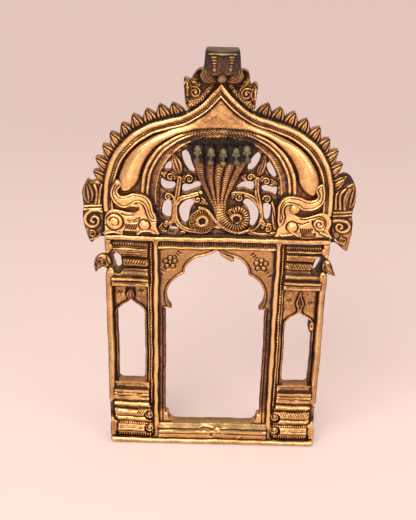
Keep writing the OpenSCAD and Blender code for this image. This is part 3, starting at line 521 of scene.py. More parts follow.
def uneven(verts):
    """Shifts points by a slow field, as of a wax model pressed by hand.

    Every piece uses the same field, so joints stay shut, and it fades at the outer faces."""
    x, y, z = verts.T
    fx, fz = smooth(0, 8, STILL_X - np.abs(x)), smooth(0, 5, z) * smooth(0, 6, STILL_Z - z)
    dx = 0.18 * (np.sin(0.083 * z + 1.3) + 0.6 * np.sin(0.19 * z + 0.05 * x + 2.2)
                 + 0.5 * np.sin(0.43 * z - 0.1 * x))
    dz = 0.22 * (np.sin(0.071 * x + 0.7) + 0.6 * np.sin(0.17 * x + 0.04 * z)
                 + 0.5 * np.sin(0.41 * x + 0.13 * z))
    return np.stack([x + dx * fx, y, z + dz * fz], -1)


def make(name, part, slot, *nodes):
    """A mesh object from a skin, riding on the part's body in place of its CAD nodes."""
    verts, groups = part
    loops = np.concatenate([f.ravel() for f in groups]).astype(np.int32)
    counts = np.concatenate([np.full(len(f), f.shape[1]) for f in groups])
    mesh = bpy.data.meshes.new(name)
    mesh.vertices.add(len(verts))
    mesh.vertices.foreach_set("co", (uneven(verts) * MM).astype(np.float32).ravel())
    mesh.loops.add(len(loops))
    mesh.loops.foreach_set("vertex_index", loops)
    mesh.polygons.add(len(counts))
    mesh.polygons.foreach_set("loop_start", (np.cumsum(counts) - counts).astype(np.int32))
    mesh.update(calc_edges=True)
    if mesh.validate():
        raise RuntimeError(f"{name} has faulty faces")
    mesh.polygons.foreach_set("use_smooth", np.ones(len(counts), bool))
    mesh.set_sharp_from_angle(angle=math.radians(58))
    piece = bpy.data.objects.new(name, mesh)
    bpy.context.scene.collection.objects.link(piece)
    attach(piece, "root")
    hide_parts(*nodes)
    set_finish(piece, slot)
    return piece


def cast(node, part, slot="aged_brass"):
    """The cast surface that takes a CAD node's place."""
    return make(node + "_cast", part, slot, node)


def named(side, node):
    """A node's name on the right (1) or the left (-1)."""
    return ("right_" if side > 0 else "left_") + node


# The lower frame

def bar(low, high, axis, r):
    """A bar: a rounded rectangle carried along an axis, drawn in at both ends and slightly dented."""
    low, high = np.asarray(low, float), np.asarray(high, float)
    a = np.linspace(0, 2 * np.pi, 64, endpoint=False)
    size = high[axis] - low[axis]
    first, last = np.linspace(0, r, 6)[:-1], np.linspace(size - r, size, 6)
    run = np.concatenate([first, np.arange(r, size - r, 0.9), last])
    inset = r - np.sqrt(np.maximum(r * r - np.maximum(0, r - np.minimum(run, size - run)) ** 2, 0))
    dent = 0.1 * (1 + wobble(run, 0.3 * run, 1.5))
    rings = np.zeros((len(run), len(a), 3))
    rings[:, :, axis] = (low[axis] + run)[:, None]
    for k, turn in zip([k for k in range(3) if k != axis], (np.cos(a), np.sin(a))):
        half, mid = (high[k] - low[k]) / 2, (high[k] + low[k]) / 2
        flat = np.clip(turn * half * 1.42, r - half, half - r)
        reach = np.outer(1 - inset / half, flat) + np.outer(r - inset, turn)
        rings[:, :, k] = mid + reach * (1 - dent / half)[:, None]
    return loft(rings)


def inner_post(side):
    """An inner post: a half-round nose on a flat bar, flared where it meets the base bar and the lintel."""
    f = sizes("frame")
    a = np.linspace(0, np.pi, 15)
    z = np.concatenate([np.linspace(f.base_h - 0.2, f.base_h + 6, 14),
                        np.arange(f.base_h + 7, f.post_top - 7, 1.0),
                        np.linspace(f.post_top - 6, f.post_top + 0.2, 14)])
    end = np.minimum(z - f.base_h, f.post_top - z)
    flare = 1.6 * np.exp(-np.maximum(end, 0) / 1.3)
    half = f.inner_w * 0.48 + flare + 0.14 * np.sin(z * 0.11) + 0.08 * np.sin(z * 0.37)
    nose = -f.post_half + f.inner_w / 2 - 0.9 * np.exp(-np.maximum(end, 0) / 2)
    cx = f.bay_half + f.inner_w / 2 + 0.15 * np.sin(z * 0.045 + side)
    x = np.concatenate([cx[:, None] + half[:, None] * np.cos(a), (cx - half)[:, None],
                        (cx + half)[:, None]], 1)
    rear = np.full((len(z), 2), f.post_half)
    y = np.concatenate([nose[:, None] - f.inner_w / 2 * np.sin(a)[None], rear], 1)
    return mirrored(loft(np.stack([x, y, np.broadcast_to(z[:, None], x.shape)], -1)), side)


def outer_post(side):
    """An outer post: a rounded strip cut back at two notches, with leaf-shaped ends over them."""
    f = sizes("frame")
    w, i = f.half_w, f.half_w - f.outer_w
    c = Carving((i - 2.4, f.base_h), (w, f.post_top), step=0.4)
    c.add(box(c.x, c.z, i, f.base_h, w, f.post_top))
    c.height += 0.3
    # Points are measured in from the outer side.
    foot = [(0, 5), (0, 13), (0.3, 18), (1.4, 22.6), (2.9, 21.4), (3.7, 19.4), (5.4, 18.2), (6, 16.4),
            (4.9, 14.6), (5.8, 12), (5.6, 9.6), (4.4, 8), (4.5, 5)]
    middle = [(0, 145), (0, 38), (1.2, 34.4), (2.8, 36.2), (4.2, 38), (5.8, 39), (5.9, 41.4), (4.5, 43.2),
              (4.5, 137), (5.2, 140.5), (6.3, 144), (5.1, 148.4), (3.2, 149.4), (1.2, 147.6)]
    top = [(0, 170.5), (0, 160.8), (1.6, 158.7), (3.6, 161), (6.1, 163.2), (5.8, 166), (4.5, 167.2),
           (4.5, 170.5)]
    for part in (foot, middle, top):
        d = outline(c.x, c.z, np.array(part) * [-1, 1] + [w, 0])
        c.add(d)
        c.raise_to(3.2 + 2.1 * quarter_round(-d / 1.7), d < 0)
    for z in (20.6, 37.6, 146.6, 161.6):
        c.groove([(w - 4.6, z), (w - 2.2, z + (0.8 if z < 30 or z > 150 else -0.8))], 0.7, 0.6)
    return mirrored(c.skin(-f.panel, f.post_half), side)


def layered(z, foot, layers):
    """Reach of a stacked moulding at each height, eased at its corners.

    A layer of two numbers, its height and its reach, is half round. A layer of three numbers, its height and
    the reach at its foot and at its top, is flat or sloped."""
    fine = np.arange(foot, foot + sum(layer[0] for layer in layers), 0.05)
    reach, at = np.zeros(fine.shape), foot
    for tall, *ends in layers:
        t = (fine - at) / tall
        inside = (t >= 0) & (t <= 1)
        rounded = ends[0] - tall / 2 + tall / 2 * half_round(2 * t - 1)
        flat = ends[0] + (ends[-1] - ends[0]) * t
        reach = np.where(inside, rounded if len(ends) == 1 else flat, reach)
        at += tall
    ease = np.exp(-np.linspace(-2, 2, 15) ** 2)
    reach = np.convolve(np.pad(reach, 7, mode="edge"), ease / ease.sum(), mode="valid")
    return np.interp(z, fine, reach)


def portal_path():
    """Half of the portal's head, from foot to crown, through its cusps."""
    f = sizes("frame")
    shares = [[(0.87, 0), (0.955, 0.12), (0.975, 0.26), (0.92, 0.42), (0.8, 0.53), (0.635, 0.615)],
              [(0.635, 0.615), (0.605, 0.72), (0.52, 0.81), (0.4, 0.88), (0.26, 0.915)],
              [(0.26, 0.915), (0.15, 0.945), (0.06, 0.975), (0, 1)]]
    return np.vstack([through(p) for p in shares]) * [f.opening_half, f.cusp_rise] + [0, f.spring]


def portal_panel():
    """The portal's panel: jambs, stepped corners, and spandrels with flowers over the cusped head."""
    f = sizes("frame")
    c = Carving.panel((-f.bay_half, f.base_h), (f.bay_half, f.post_top), step=0.42)
    x, z = c.x, c.z
    w = f.opening_half
    right = np.vstack([[(w - 6, 16.4), (w - 3, 19.7), (w - 2, 24.6), (w, 24.6), (w, f.spring)],
                       portal_path()])
    hole = outline(x, z, np.vstack([right, right[::-1] * [-1, 1]]))
    c.cut(hole)
    c.height += 0.15 * wobble(x, z)
    ax = np.abs(x)
    jamb = (z < f.spring + 3) & (ax > w - 6)
    c.height += np.where(jamb & (ax < 41.2), 1.3 - 1.1 * bell(ax, 38.5, 0.35), 0)
    c.hatch(jamb & (ax > 36.6) & (ax < 38.2) & (z > 30), z + 0.4 * wobble(x, z, 0.2), 1.9, 0.6)
    c.height -= np.where(ax > 41.2, 0.4, 0)
    head = z >= f.spring + 0.5
    c.raise_to(1.3, head)
    c.height += np.where(head, 0.5 * bell(hole, 0.8, 0.5) - 0.6 * bell(hole, 1.8, 0.35), 0)
    c.height -= np.where(~head, 0.7 * smooth(0.9, 0.1, hole), 0)
    for cx, cz, side in ((-33.4, 152.5, -1), (31.6, 152.0, 1)):
        c.ring((cx, cz), 1.1, 0.6, 0.8)
        for k in range(5):
            a = math.radians(90 + 72 * k)
            c.ring((cx + 3.5 * math.cos(a), cz + 3.5 * math.sin(a)), 1.9, 0.7, 1.1)
        for k in (-1.9, -1.35, -1.05, 1.05, 1.4, 1.75):
            px, pz = cx - side * 4.6 * k * 0.8, cz + 4.6 * k
            c.groove([(px - 0.9, pz - side * 0.9), (px + 0.9, pz + side * 0.9)], 0.9, 0.9)
    bud = through([(3.2, 159.8), (5.6, 158.2), (8.2, 156.8), (10.6, 155.4)])
    c.add_stroke(bud, 2.2, 3.0)
    c.groove(through([(1.0, 162.4), (3.4, 160.8), (6.4, 159.4), (9.6, 158.4)]), 1.0, 0.9)
    c.ridge(bud, 2.2, 1.4, 3.0, 0.8, lines=((0.0, 0.5),))
    return c.skin(-f.panel, f.panel)


def sill():
    """The sill under the portal: a fascia, a bright fillet and a slope, with a casting pit and lumps."""
    f = sizes("frame")
    top = 16.4
    c = Carving.panel((-f.bay_half, f.base_h), (f.bay_half, top), step=0.36)
    x, z = c.x, c.z
    layers = [[3.8, 6.3, 6.5], [1.0, 4.2, 4.2], [2.8, 6.8, 7], [0.7, 4.4, 4.4], [3.1, 5.6, 1.4]]
    c.height = layered(z + 0.12 * wobble(x, z, 2.4), f.base_h, layers)
    c.height += 0.06 * wobble(x, z, 0.3)
    for px, pz, r, depth in ((-0.7, 7.6, 0.9, 2.2), (-6.4, 13.3, 1.2, 0.9), (22.6, 6.6, 0.7, 1.2)):
        c.height -= depth * np.exp(-((x - px) ** 2 + (z - pz) ** 2) / r ** 2)
    c.groove(through([(-9, 13.6), (-4, 13.7), (0, 12.9), (2.6, 11.6)]), 1.1, 1.3)
    c.dome((4.2, 12.6), 2.6, 1.6, 5.2)
    c.ridge([(19.6, 5.2), (22, 7.4)], 2.2, 0.8, 1.4, 6.0)
    return c.skin(-f.panel, 0.5 - f.panel)


def frieze():
    """The strip under the lintel: a plain fillet below a row of dentils."""
    f = sizes("frame")
    foot = f.post_top - 5.5
    c = Carving.panel((-f.bay_half, foot), (f.bay_half, f.post_top), step=0.3)
    x, z = c.x, c.z
    fillet = 4.6 - 0.5 * bell(z - f.post_top, -4.7, 0.25)
    c.height = np.where(z < f.post_top - 3.9, fillet, 4.0) + 0.12 * wobble(x, z, 0.5)
    c.hatch((z > f.post_top - 3.5) & (z < f.post_top - 0.5), x + 0.5 * wobble(x, z, 0.6), 1.6, 0.9)
    return c.skin(-f.panel, 0.5 - f.panel)


# The side bays

def bead_strip(side):
    """The strip beside an inner post: two thin fillets and a row of beads between them."""
    f = sizes("frame")
    x0 = f.bay_half + f.inner_w
    x1, foot = x0 + f.strip_w, f.base_h + BLOCK_H
    c = Carving.panel((x0, foot), (x1, f.post_top), step=0.3)
    x, z = c.x, c.z
    c.height = 0.9 + 0.1 * wobble(x, z, 0.6)
    for at in (0.25, 3.7):
        c.height += 0.6 * bell(x - x0, at, 0.4)
    mid = x0 + 1.9 + 0.12 * np.sin(0.21 * z)
    cell = (z + 0.15 * np.sin(z * 0.9)) / f.bead
    u = np.hypot((cell - np.round(cell)) * f.bead, x - mid) / (0.5 * f.bead)
    worn = 0.75 + 0.25 * np.sin(0.37 * z + 1.7 * side)
    c.raise_to(0.9 + 2.3 * worn * half_round(u), u < 1)
    return mirrored(c.skin(-f.panel, f.panel), side)


def niche_panel(side, spring, bud):
    """A side bay's panel: ridges follow the ogee opening, a bud stands on it, and a slope lies under it.

    A bud under 10 mm is one leaf, and a taller one has two stems about a leaf."""
    f = sizes("frame")
    x0, x1 = f.bay_half + f.inner_w + f.strip_w, f.half_w - f.outer_w
    mid, foot, top = (x0 + x1) / 2, f.niche_foot - SLOPE_H, CAPITAL_FOOT
    c = Carving.panel((x0, foot), (x1, top), step=0.36)
    x, z = c.x, c.z
    w, r = f.niche_half, f.niche_rise
    shares = [(1, 0), (0.93, 0.22), (0.68, 0.48), (0.34, 0.66), (0.12, 0.82), (0, 1)]
    head = through([(w * u, r * v) for u, v in shares])
    right = np.vstack([[(w - 2.2, f.niche_foot), (w, f.niche_foot + 1.8)], head + [0, spring]])
    hole = outline(x, z, np.vstack([right, right[::-1] * [-1, 1]]) + [mid, 0])
    if side > 0:
        hole = np.maximum(hole, 1.7 - np.hypot((x - x1 + 3.2) * 0.75, (z - 103.5) * 0.32))
    c.cut(hole)
    c.height = 0.5 + 0.2 * wobble(x, z, 0.6)
    c.height += np.where(z > spring - 8, 1.2, 0.6) * bell(hole, 1.0, 0.55)
    c.height -= 0.9 * bell(hole, 1.9, 0.35)
    frame_in = np.minimum(np.minimum(x - x0, x1 - x), top - z)
    c.height += np.where(z > spring - 4, 0.0, 1.0) * bell(hole, 2.6, 0.4)
    c.height -= 0.9 * smooth(1.1, 0.2, frame_in)
    c.height -= 0.5 * smooth(0.7, 0.0, hole)
    apex, short = spring + r, bud < 10

    def over(s, points):
        """A curve through points measured from the opening's apex, on one side of it."""
        return through([(mid + s * u, apex + v) for u, v in points])

    for s in (-1, 1):
        if short:
            c.groove(over(s, [(1.0, 0.6), (3.2, 3.6), (2.6, 8.4)]), 1.3, 1.0)
        else:
            stem = over(s, [(0.5, -1), (1.2, 3), (2.3, 7.0), (1.0, 10.8), (0, bud + 2)])
            c.ridge(stem, 1.5, 0.9, 0.9, 0.8)
            c.groove(over(s, [(2.0, 2.6), (3.5, 7.0), (1.6, 12)]), 1.0, 0.7)
    if short:
        c.leaf((mid, apex - 0.4), (mid, apex + bud + 2.0), 5.2, 1.8, 0.8, 1.0)
    else:
        c.leaf((mid, apex + 2.4), (mid, apex + 9.4), 2.2, 1.2, 0.6, 1.0)
    for s, dz in ((-1, 0.0), (1, -1.6)):
        cx, cz = mid + s * 7.6, spring + (17.4 if short else 19.6) + dz
        for k in range(6):
            a = math.radians(60 * k + 20)
            ray = [(cx + u * math.cos(a), cz + v * math.sin(a)) for u, v in ((0.5, 0.4), (2.3, 1.7))]
            c.groove(ray, 0.8, 0.7)
    slope = (f.niche_foot - z) / SLOPE_H
    low = 2.6 + 1.2 * np.clip(slope, 0, 1) + 0.6 * smooth(0.3, 0.1, slope) + 0.1 * wobble(x, z, 0.3)
    c.height = np.where(z < f.niche_foot, low, c.height)
    return mirrored(c.skin(-f.panel, f.panel), side)


def base_moulding(side):
    """The stacked mouldings at a pier's foot, with hatched bands and two scrolls beside the inner post."""
    f = sizes("frame")
    x0, x1 = f.bay_half + f.inner_w, f.half_w - f.outer_w
    xs, top, block = x0 + f.strip_w, BASE_TOP, f.base_h + BLOCK_H
    c = Carving((x0, f.base_h), (x1, top), step=0.3)
    x, z = c.x, c.z
    c.add(box(x, z, xs, f.base_h, x1, top))
    c.add(box(x, z, x0, f.base_h, xs + 1, block))
    tilt = z + side * 0.02 * (x - 62) + 0.2 * wobble(x + 40 * side, z, 1.6)
    layers = [[3.4, 5.0], [3.2, 5.8, 6.4], [6, 6.4, 4.8], [1.6, 3.0, 3.0], [3.8, 5.4], [1.0, 3.4, 3.4],
              [6.2, 7], [1.6, 3.0, 3.0], [4.4, 5.8], [2.2, 2.8, 2.8], [3.4, 5.0, 5.8], [0.9, 4.0, 4.0],
              [2.0, 6.2, 6.2], [0.7, 4.8, 4.8], [2.4, 6.4, 6.4]]
    c.height = layered(tilt, f.base_h, layers) + 0.15 * wobble(x, z, 0.4)
    c.hatch((tilt > 5.4) & (tilt < 8.2), x, 1.8, 1.5)
    c.height -= 0.7 * ((tilt > 9.6) & (tilt < 10.3))
    c.hatch((tilt > 15.4) & (tilt < 17.2), x, 1.7, 0.9)
    lean = x + 0.7 * (z - 27)
    c.hatch((tilt > 27.2) & (tilt < 29.8) & (x < (75 if side > 0 else 58)), lean, 1.9, 0.9)
    c.hatch((tilt > 31.6) & (tilt < 33), x + 0.4 * wobble(x, z, 0.3), 1.6, 0.5)
    for at in (12.6, 40.2):
        c.height -= 0.5 * bell(tilt, at, 0.25)
    c.height -= 1.6 * smooth(2.2, 0.2, x1 - x) * (z < 34)
    c.height = np.where((x < x0 + 2.4) & (z < block), 0.8, c.height)
    for cz, r in ((12.6, 3.7), (24.8, 3.6)):
        centre = (x0 + 3.6, cz)
        d = apart(x, z, centre)
        c.height = np.where(d < r + 0.8, np.minimum(c.height, 1.4), c.height)
        c.height = np.where(d < r, 3.0, c.height)
        c.curl(centre, r - 0.5, 0.8, 160 if side > 0 else 20, 1.35 if side > 0 else -1.35, 1.5, 1.5, 3.0)
        c.dome((centre[0] + 0.3, cz - 0.2), 1.4, 1.6, 3.0)
    c.dome((x0 + 2.2, 7.0), 1.6, 1.4, 2.0)
    return mirrored(c.skin(-f.panel, f.panel), side)


def capital_moulding(side):
    """The stacked mouldings at a pier's head: fillets, a stippled band and a roll, pierced at the bird."""
    f = sizes("frame")
    x0, x1 = f.bay_half + f.inner_w + f.strip_w, f.half_w - f.outer_w
    foot = CAPITAL_FOOT
    c = Carving.panel((x0, foot), (x1, f.post_top), step=0.3)
    x, z = c.x, c.z
    if side > 0:
        gap = [(68.4, 150.4), (69.2, 147.6), (71.2, 148.4), (74.6, 155.2), (75.4, 158.8), (73.4, 159.4),
               (70.8, 157.6)]
    else:
        gap = [(68.2, 148.4), (70.6, 145.4), (74.6, 147.2), (75.6, 152), (74.8, 156.8), (71.6, 159),
               (68.6, 156.4)]
    hole = outline(x, z, np.array(gap))
    c.cut(hole)
    tilt = z + side * 0.012 * (x - 62) + 0.15 * wobble(x - 30 * side, z, 1.6)
    layers = [[3.6, 5.6, 6], [0.8, 4.2, 4.2], [2.0, 7, 7], [4.4, 4.6]]
    if side > 0:
        layers += [[3.4, 2.2, 3.0], [1.4, 1.2, 1.2], [5.2, 6.8], [1.0, 1.6, 1.6], [4.6, 4.2, 4.4],
                   [2.4, 2.4, 2.4], [1.4, 5.6, 5.6], [2.6, 4.2, 4.2], [2.7, 2.8, 2.8]]
    else:
        layers += [[2.4, 3.4, 4.2], [2.4, 1.2, 1.2], [5.6, 6.8], [1.0, 1.6, 1.6], [1.5, 3.4, 3.4],
                   [0.4, 2.2, 2.2], [1.5, 4.2, 4.2], [0.4, 3.0, 3.0], [1.5, 5, 5], [0.5, 3.6, 3.6],
                   [1.6, 6.0, 6.0], [3.2, 4.2, 4.2], [2.7, 2.8, 2.8]]
    c.height = layered(tilt, foot, layers) + 0.12 * wobble(x, z, 0.4)
    dots = np.cos(2 * np.pi * x / 1.7) * np.cos(2 * np.pi * tilt / 1.9)
    c.height -= np.where((tilt > 142.4) & (tilt < 146), 0.55 * (0.5 - 0.5 * dots), 0)
    c.hatch((tilt > 152.6) & (tilt < 155.6) & (x < 67.5), x + 0.6 * z, 1.9, 1.0)
    c.hatch((tilt > 165.2) & (tilt < 167.6), x, 1.7, 0.7)
    for at in (136.6, 137.8):
        c.height -= 0.4 * bell(tilt, at, 0.25)
    c.height -= 1.2 * smooth(1.8, 0.2, x1 - x) * (z > 144)
    c.height += (0.2 - c.height) * smooth(2.2, 1.0, hole)
    c.height -= 1.2 * smooth(0.9, 0.0, x - x0) * (z > 143)
    c.height = np.maximum(c.height, 0.2)
    return mirrored(c.skin(-f.panel, f.panel), side)


def bird(side, points, eye, lines):
    """A bird's head that looks out of the notch: a domed outline, a ringed eye and lines along its beak."""
    f = sizes("frame")
    at = np.array([f.half_w, 146.5])
    c = Carving.shaped(closed(points, 5) + at, step=0.3)
    c.height += 0.3 + 2.4 * quarter_round(-c.edge / 3.6)
    eye = at + eye
    c.dome(eye, 1.5, 0.9, 2.4)
    for r in (1.6, 0.6, 2.7):
        c.ring(eye, r, 0.7, 0.8)
    for line in lines:
        c.groove(through(np.array(line) + at), 0.8, 0.9)
    return mirrored(c.skin(-f.panel - 0.7, -f.panel + 0.4), side)


# The arch

def arch_at(a, d):
    """Points of the arch inset by d: a superellipse of power 2.6 and a tip that falls off as a square."""
    h = sizes("arch")
    w, c, s = sizes("frame").half_w, np.cos(np.radians(a)), np.sin(np.radians(a))
    power = 2 / 2.6
    x = (w - d) * np.sign(c) * np.abs(c) ** power
    z = h.spring + (h.rise - d) * np.abs(s) ** power
    return x, z + (h.ogee - d / 2) * np.clip(1 - np.abs(x) / h.ogee_half, 0, 1) ** 2


def field_at(a, s):
    """Points from the tracery field's edge (s 0) to the inner rim's outer edge (s 1): superellipses."""
    h = sizes("arch")
    power = 2 / (2.2 + 0.2 * s)
    c, k = np.cos(np.radians(a)), np.sin(np.radians(a))
    x = (h.field_half + h.inner_w * s) * np.sign(c) * np.abs(c) ** power
    return x, h.field_spring + (h.field_rise + h.inner_crown * s) * np.abs(k) ** power


def even(run, a0, a1, step):
    """Angles at which a curve's points lie a step apart, and the length up to each."""
    a = np.linspace(a0, a1, 4001)
    x, z = run(a)
    s = np.concatenate([[0], np.cumsum(np.hypot(np.diff(x), np.diff(z)))])
    at = np.linspace(0, s[-1], max(8, int(round(s[-1] / step))))
    return np.interp(at, s, a), at


def outer_rim():
    """The outer rim: a smooth band, a roped channel and a fillet, carried along the arch."""
    h = sizes("arch")
    a, run = even(lambda v: arch_at(v, 3.5), 0, 180, 0.42)
    d = np.array([0, 0.2, 0.5, 1.0, 1.7, 2.4, 2.9, 3.2, 3.4, 3.6, 3.9, 4.3, 4.7, 4.95, 5.1, 5.3, 5.6, 6.0,
                  6.4, 6.7, 6.9, 7])
    lift = np.array([3.2, 4.2, 4.8, 5.2, 5.4, 5.3, 5.1, 4.8, 4.2, 4.3, 4.5, 4.6, 4.5, 4.3, 4.0, 4.4, 4.9,
                     5.0, 4.9, 4.5, 3.8, 2.6])
    x, z = arch_at(a[:, None], d[None])
    # The feet run straight down beside the wings.
    down = np.linspace(-4, -0.5, 8)[:, None]
    x = np.concatenate([x[:1] + 0 * down, x, x[-1:] + 0 * down])
    z = np.concatenate([h.spring + down + 0 * d, z, h.spring + down[::-1] + 0 * d])
    s = np.concatenate([down[:, 0], run, run[-1] - down[::-1, 0]])[:, None]
    channel = np.clip(1.4 - np.abs((d[None] - 4.3) / 0.6), 0, 1)
    rope = -0.8 * channel * peaks(s + 1.2 * d[None], h.hatch) ** 2
    worn = 0.18 * wobble(s, s * 0.4 + d[None], 0.6)
    crown = smooth(38, 28, np.abs(x)) * smooth(0.3, 0.9, d) * smooth(3.4, 2.8, d)
    worn = worn - 0.7 * crown * peaks(s - 0.9 * d[None], h.hatch) ** 2
    return strip(x, -h.plate - lift[None] - rope - worn, z, -h.plate)


def inner_rim():
    """The inner rim: a hatched band, a fillet, a thin row of beads and a broad fillet, worn at the crown.

    The shares run from 0 at the field's edge to 1 at the rim's outer edge."""
    h = sizes("arch")
    step = 0.42
    a, run = even(lambda v: field_at(v, 0.6), 3, 177, step)
    s = np.concatenate([[0, 0.02], np.linspace(0.05, 0.96, 32), [0.985, 1]])[None]
    x, z = field_at(a[:, None], s)
    # The feet run straight down behind the yalis' necks.
    foot = np.arange(step, 10, step)[:, None]
    x = np.concatenate([x[:1] + 0 * foot, x, x[-1:] + 0 * foot])
    z = np.concatenate([z[:1] - foot[::-1], z, z[-1:] - foot])
    run = np.concatenate([-foot[::-1], run[:, None], run[-1] + foot])
    keep = smooth(14, 27, np.abs(x[:, 16]))[:, None]
    lift = bell(s, 0.87, 0.13, 4) * 2.1 + bell(s, 0.56, 0.1, 4) * 1.5
    lift = 2.0 + lift * (0.12 + 0.88 * keep) + 0.3 * bell(s, 0.04, 0.05, 4)
    ticks = peaks(run + 8 * s, h.hatch)
    lift += bell(s, 0.25, 0.15, 4) * (0.4 * ticks - 0.5) * keep
    u = np.hypot(run - 1.7 * np.round(run / 1.7), (s - 0.715) * 10) / 0.8
    lift += 0.7 * half_round(u) * keep
    band = 0.7 + 0.5 * np.sin(run * 2.9) * np.sin(s * 21)
    lift += (1 - keep) * band * ((s > 0.1) & (s < 0.85)) + 0.2 * wobble(run, 9 * s, 0.5)
    lift += 1.5 * np.exp(-((s - 0.06 - 0.03 * np.sin(run * 0.31)) / 0.06) ** 2) * (1 - keep)
    lift += 1.5 * np.exp(-((x + 1.6) / 2.0) ** 2 - ((s - 0.14) / 0.2) ** 2)
    return strip(x, -h.plate - lift, z, -h.plate)


def roll():
    """The swelling roll: half ellipses between the rims that flatten to a tented field at the crown."""
    h = sizes("arch")
    a = even(lambda v: field_at(v, 1.6), 3, 177, 0.9)[0]
    near_foot = np.minimum(a, 180 - a)
    crown = smooth(50, 74, near_foot)[:, None]
    ox, oz = arch_at(a, h.rim + 0.5 - 0.4 * crown[:, 0])
    ix, iz = field_at(a, 1.04)
    swell = np.sqrt(np.clip(1 - (1 - np.clip((near_foot - 3) / 10, 0, 1)) ** 2, 0.004, 1))
    k = np.linspace(0, np.pi, 41)[None]
    c, s = np.cos(k), np.sin(k)
    x = ((ox + ix) / 2)[:, None] + ((ox - ix) / 2 * swell)[:, None] * c
    z = ((oz + iz) / 2)[:, None] + ((oz - iz) / 2 * swell)[:, None] * c
    lift = swell[:, None] * (7.0 * (1 - crown) * s + crown * (3.4 * np.clip(s * 6, 0, 1) + 1.2 * s))
    lift -= crown * s * 0.4 * np.exp(-((np.abs(x) - 13 + (z - 252) * 0.35) / 2.2) ** 2)
    return loft(np.stack([x, -h.plate - lift - 0.1 * wobble(x, z, 1.6) * s, z], -1))


def petals(side):
    """The petals of one flank: pointed leaves on the arch's edge, each with a heart and two side lobes.

    The low petals lean up along the edge, and the top one leans a little away from the crest."""
    h = sizes("arch")
    a, run = even(lambda v: arch_at(v, 0), 6.3, 78, 0.3)
    ex, ez = arch_at(a, 0)
    count = 9
    width = run[-1] / count

    def at(s):
        """The edge's point at a length along it."""
        return np.array([np.interp(s, run, ex), np.interp(s, run, ez)])

    rows = np.concatenate([[-0.1], np.linspace(0, 0.985, 24)])
    u, v = np.meshgrid(np.linspace(-1, 1, 41), rows, indexing="ij")
    w, t = np.abs(u), np.clip(v, 0, 1)
    half = width * 0.56 * np.clip(1 - t ** 2.3, 0.02, 1)
    inner = np.maximum(0.42 * np.sin(np.pi * np.clip(0.12 + 0.94 * t, 0, 1)) ** 0.6, 0.02)
    heart = np.clip(1 - (w / inner) ** 2, 0, 1) ** 0.5
    lobe = np.clip(1 - ((w - 0.66) / 0.2) ** 2, 0, 1) ** 0.5 * smooth(1.0, 0.7, t)
    lift = 0.5 + 1.6 * heart * smooth(1.0, 0.8, t) + 1.1 * lobe + 0.6 * smooth(0.8, 1, t)
    lift -= 0.7 * np.exp(-(w / 0.07) ** 2) * smooth(0.75, 0.4, t)
    parts = []
    for k in range(count):
        s = (k + 0.5) * width
        along = at(s + 1) - at(s - 1)
        along /= np.hypot(*along)
        out = np.array([along[1], -along[0]])
        grow = h.petal * (0.97 + 0.04 * math.sin(3.1 * k + side))
        shift = half * u + (5.8 - 0.95 * k) * t ** 1.3
        x, z = [at(s)[i] + out[i] * grow * v + along[i] * shift for i in (0, 1)]
        parts.append(plate(x, z, -h.plate + 0.3 - lift, h.back))
    return mirrored(join(*parts), side)


# The ornament on the arch

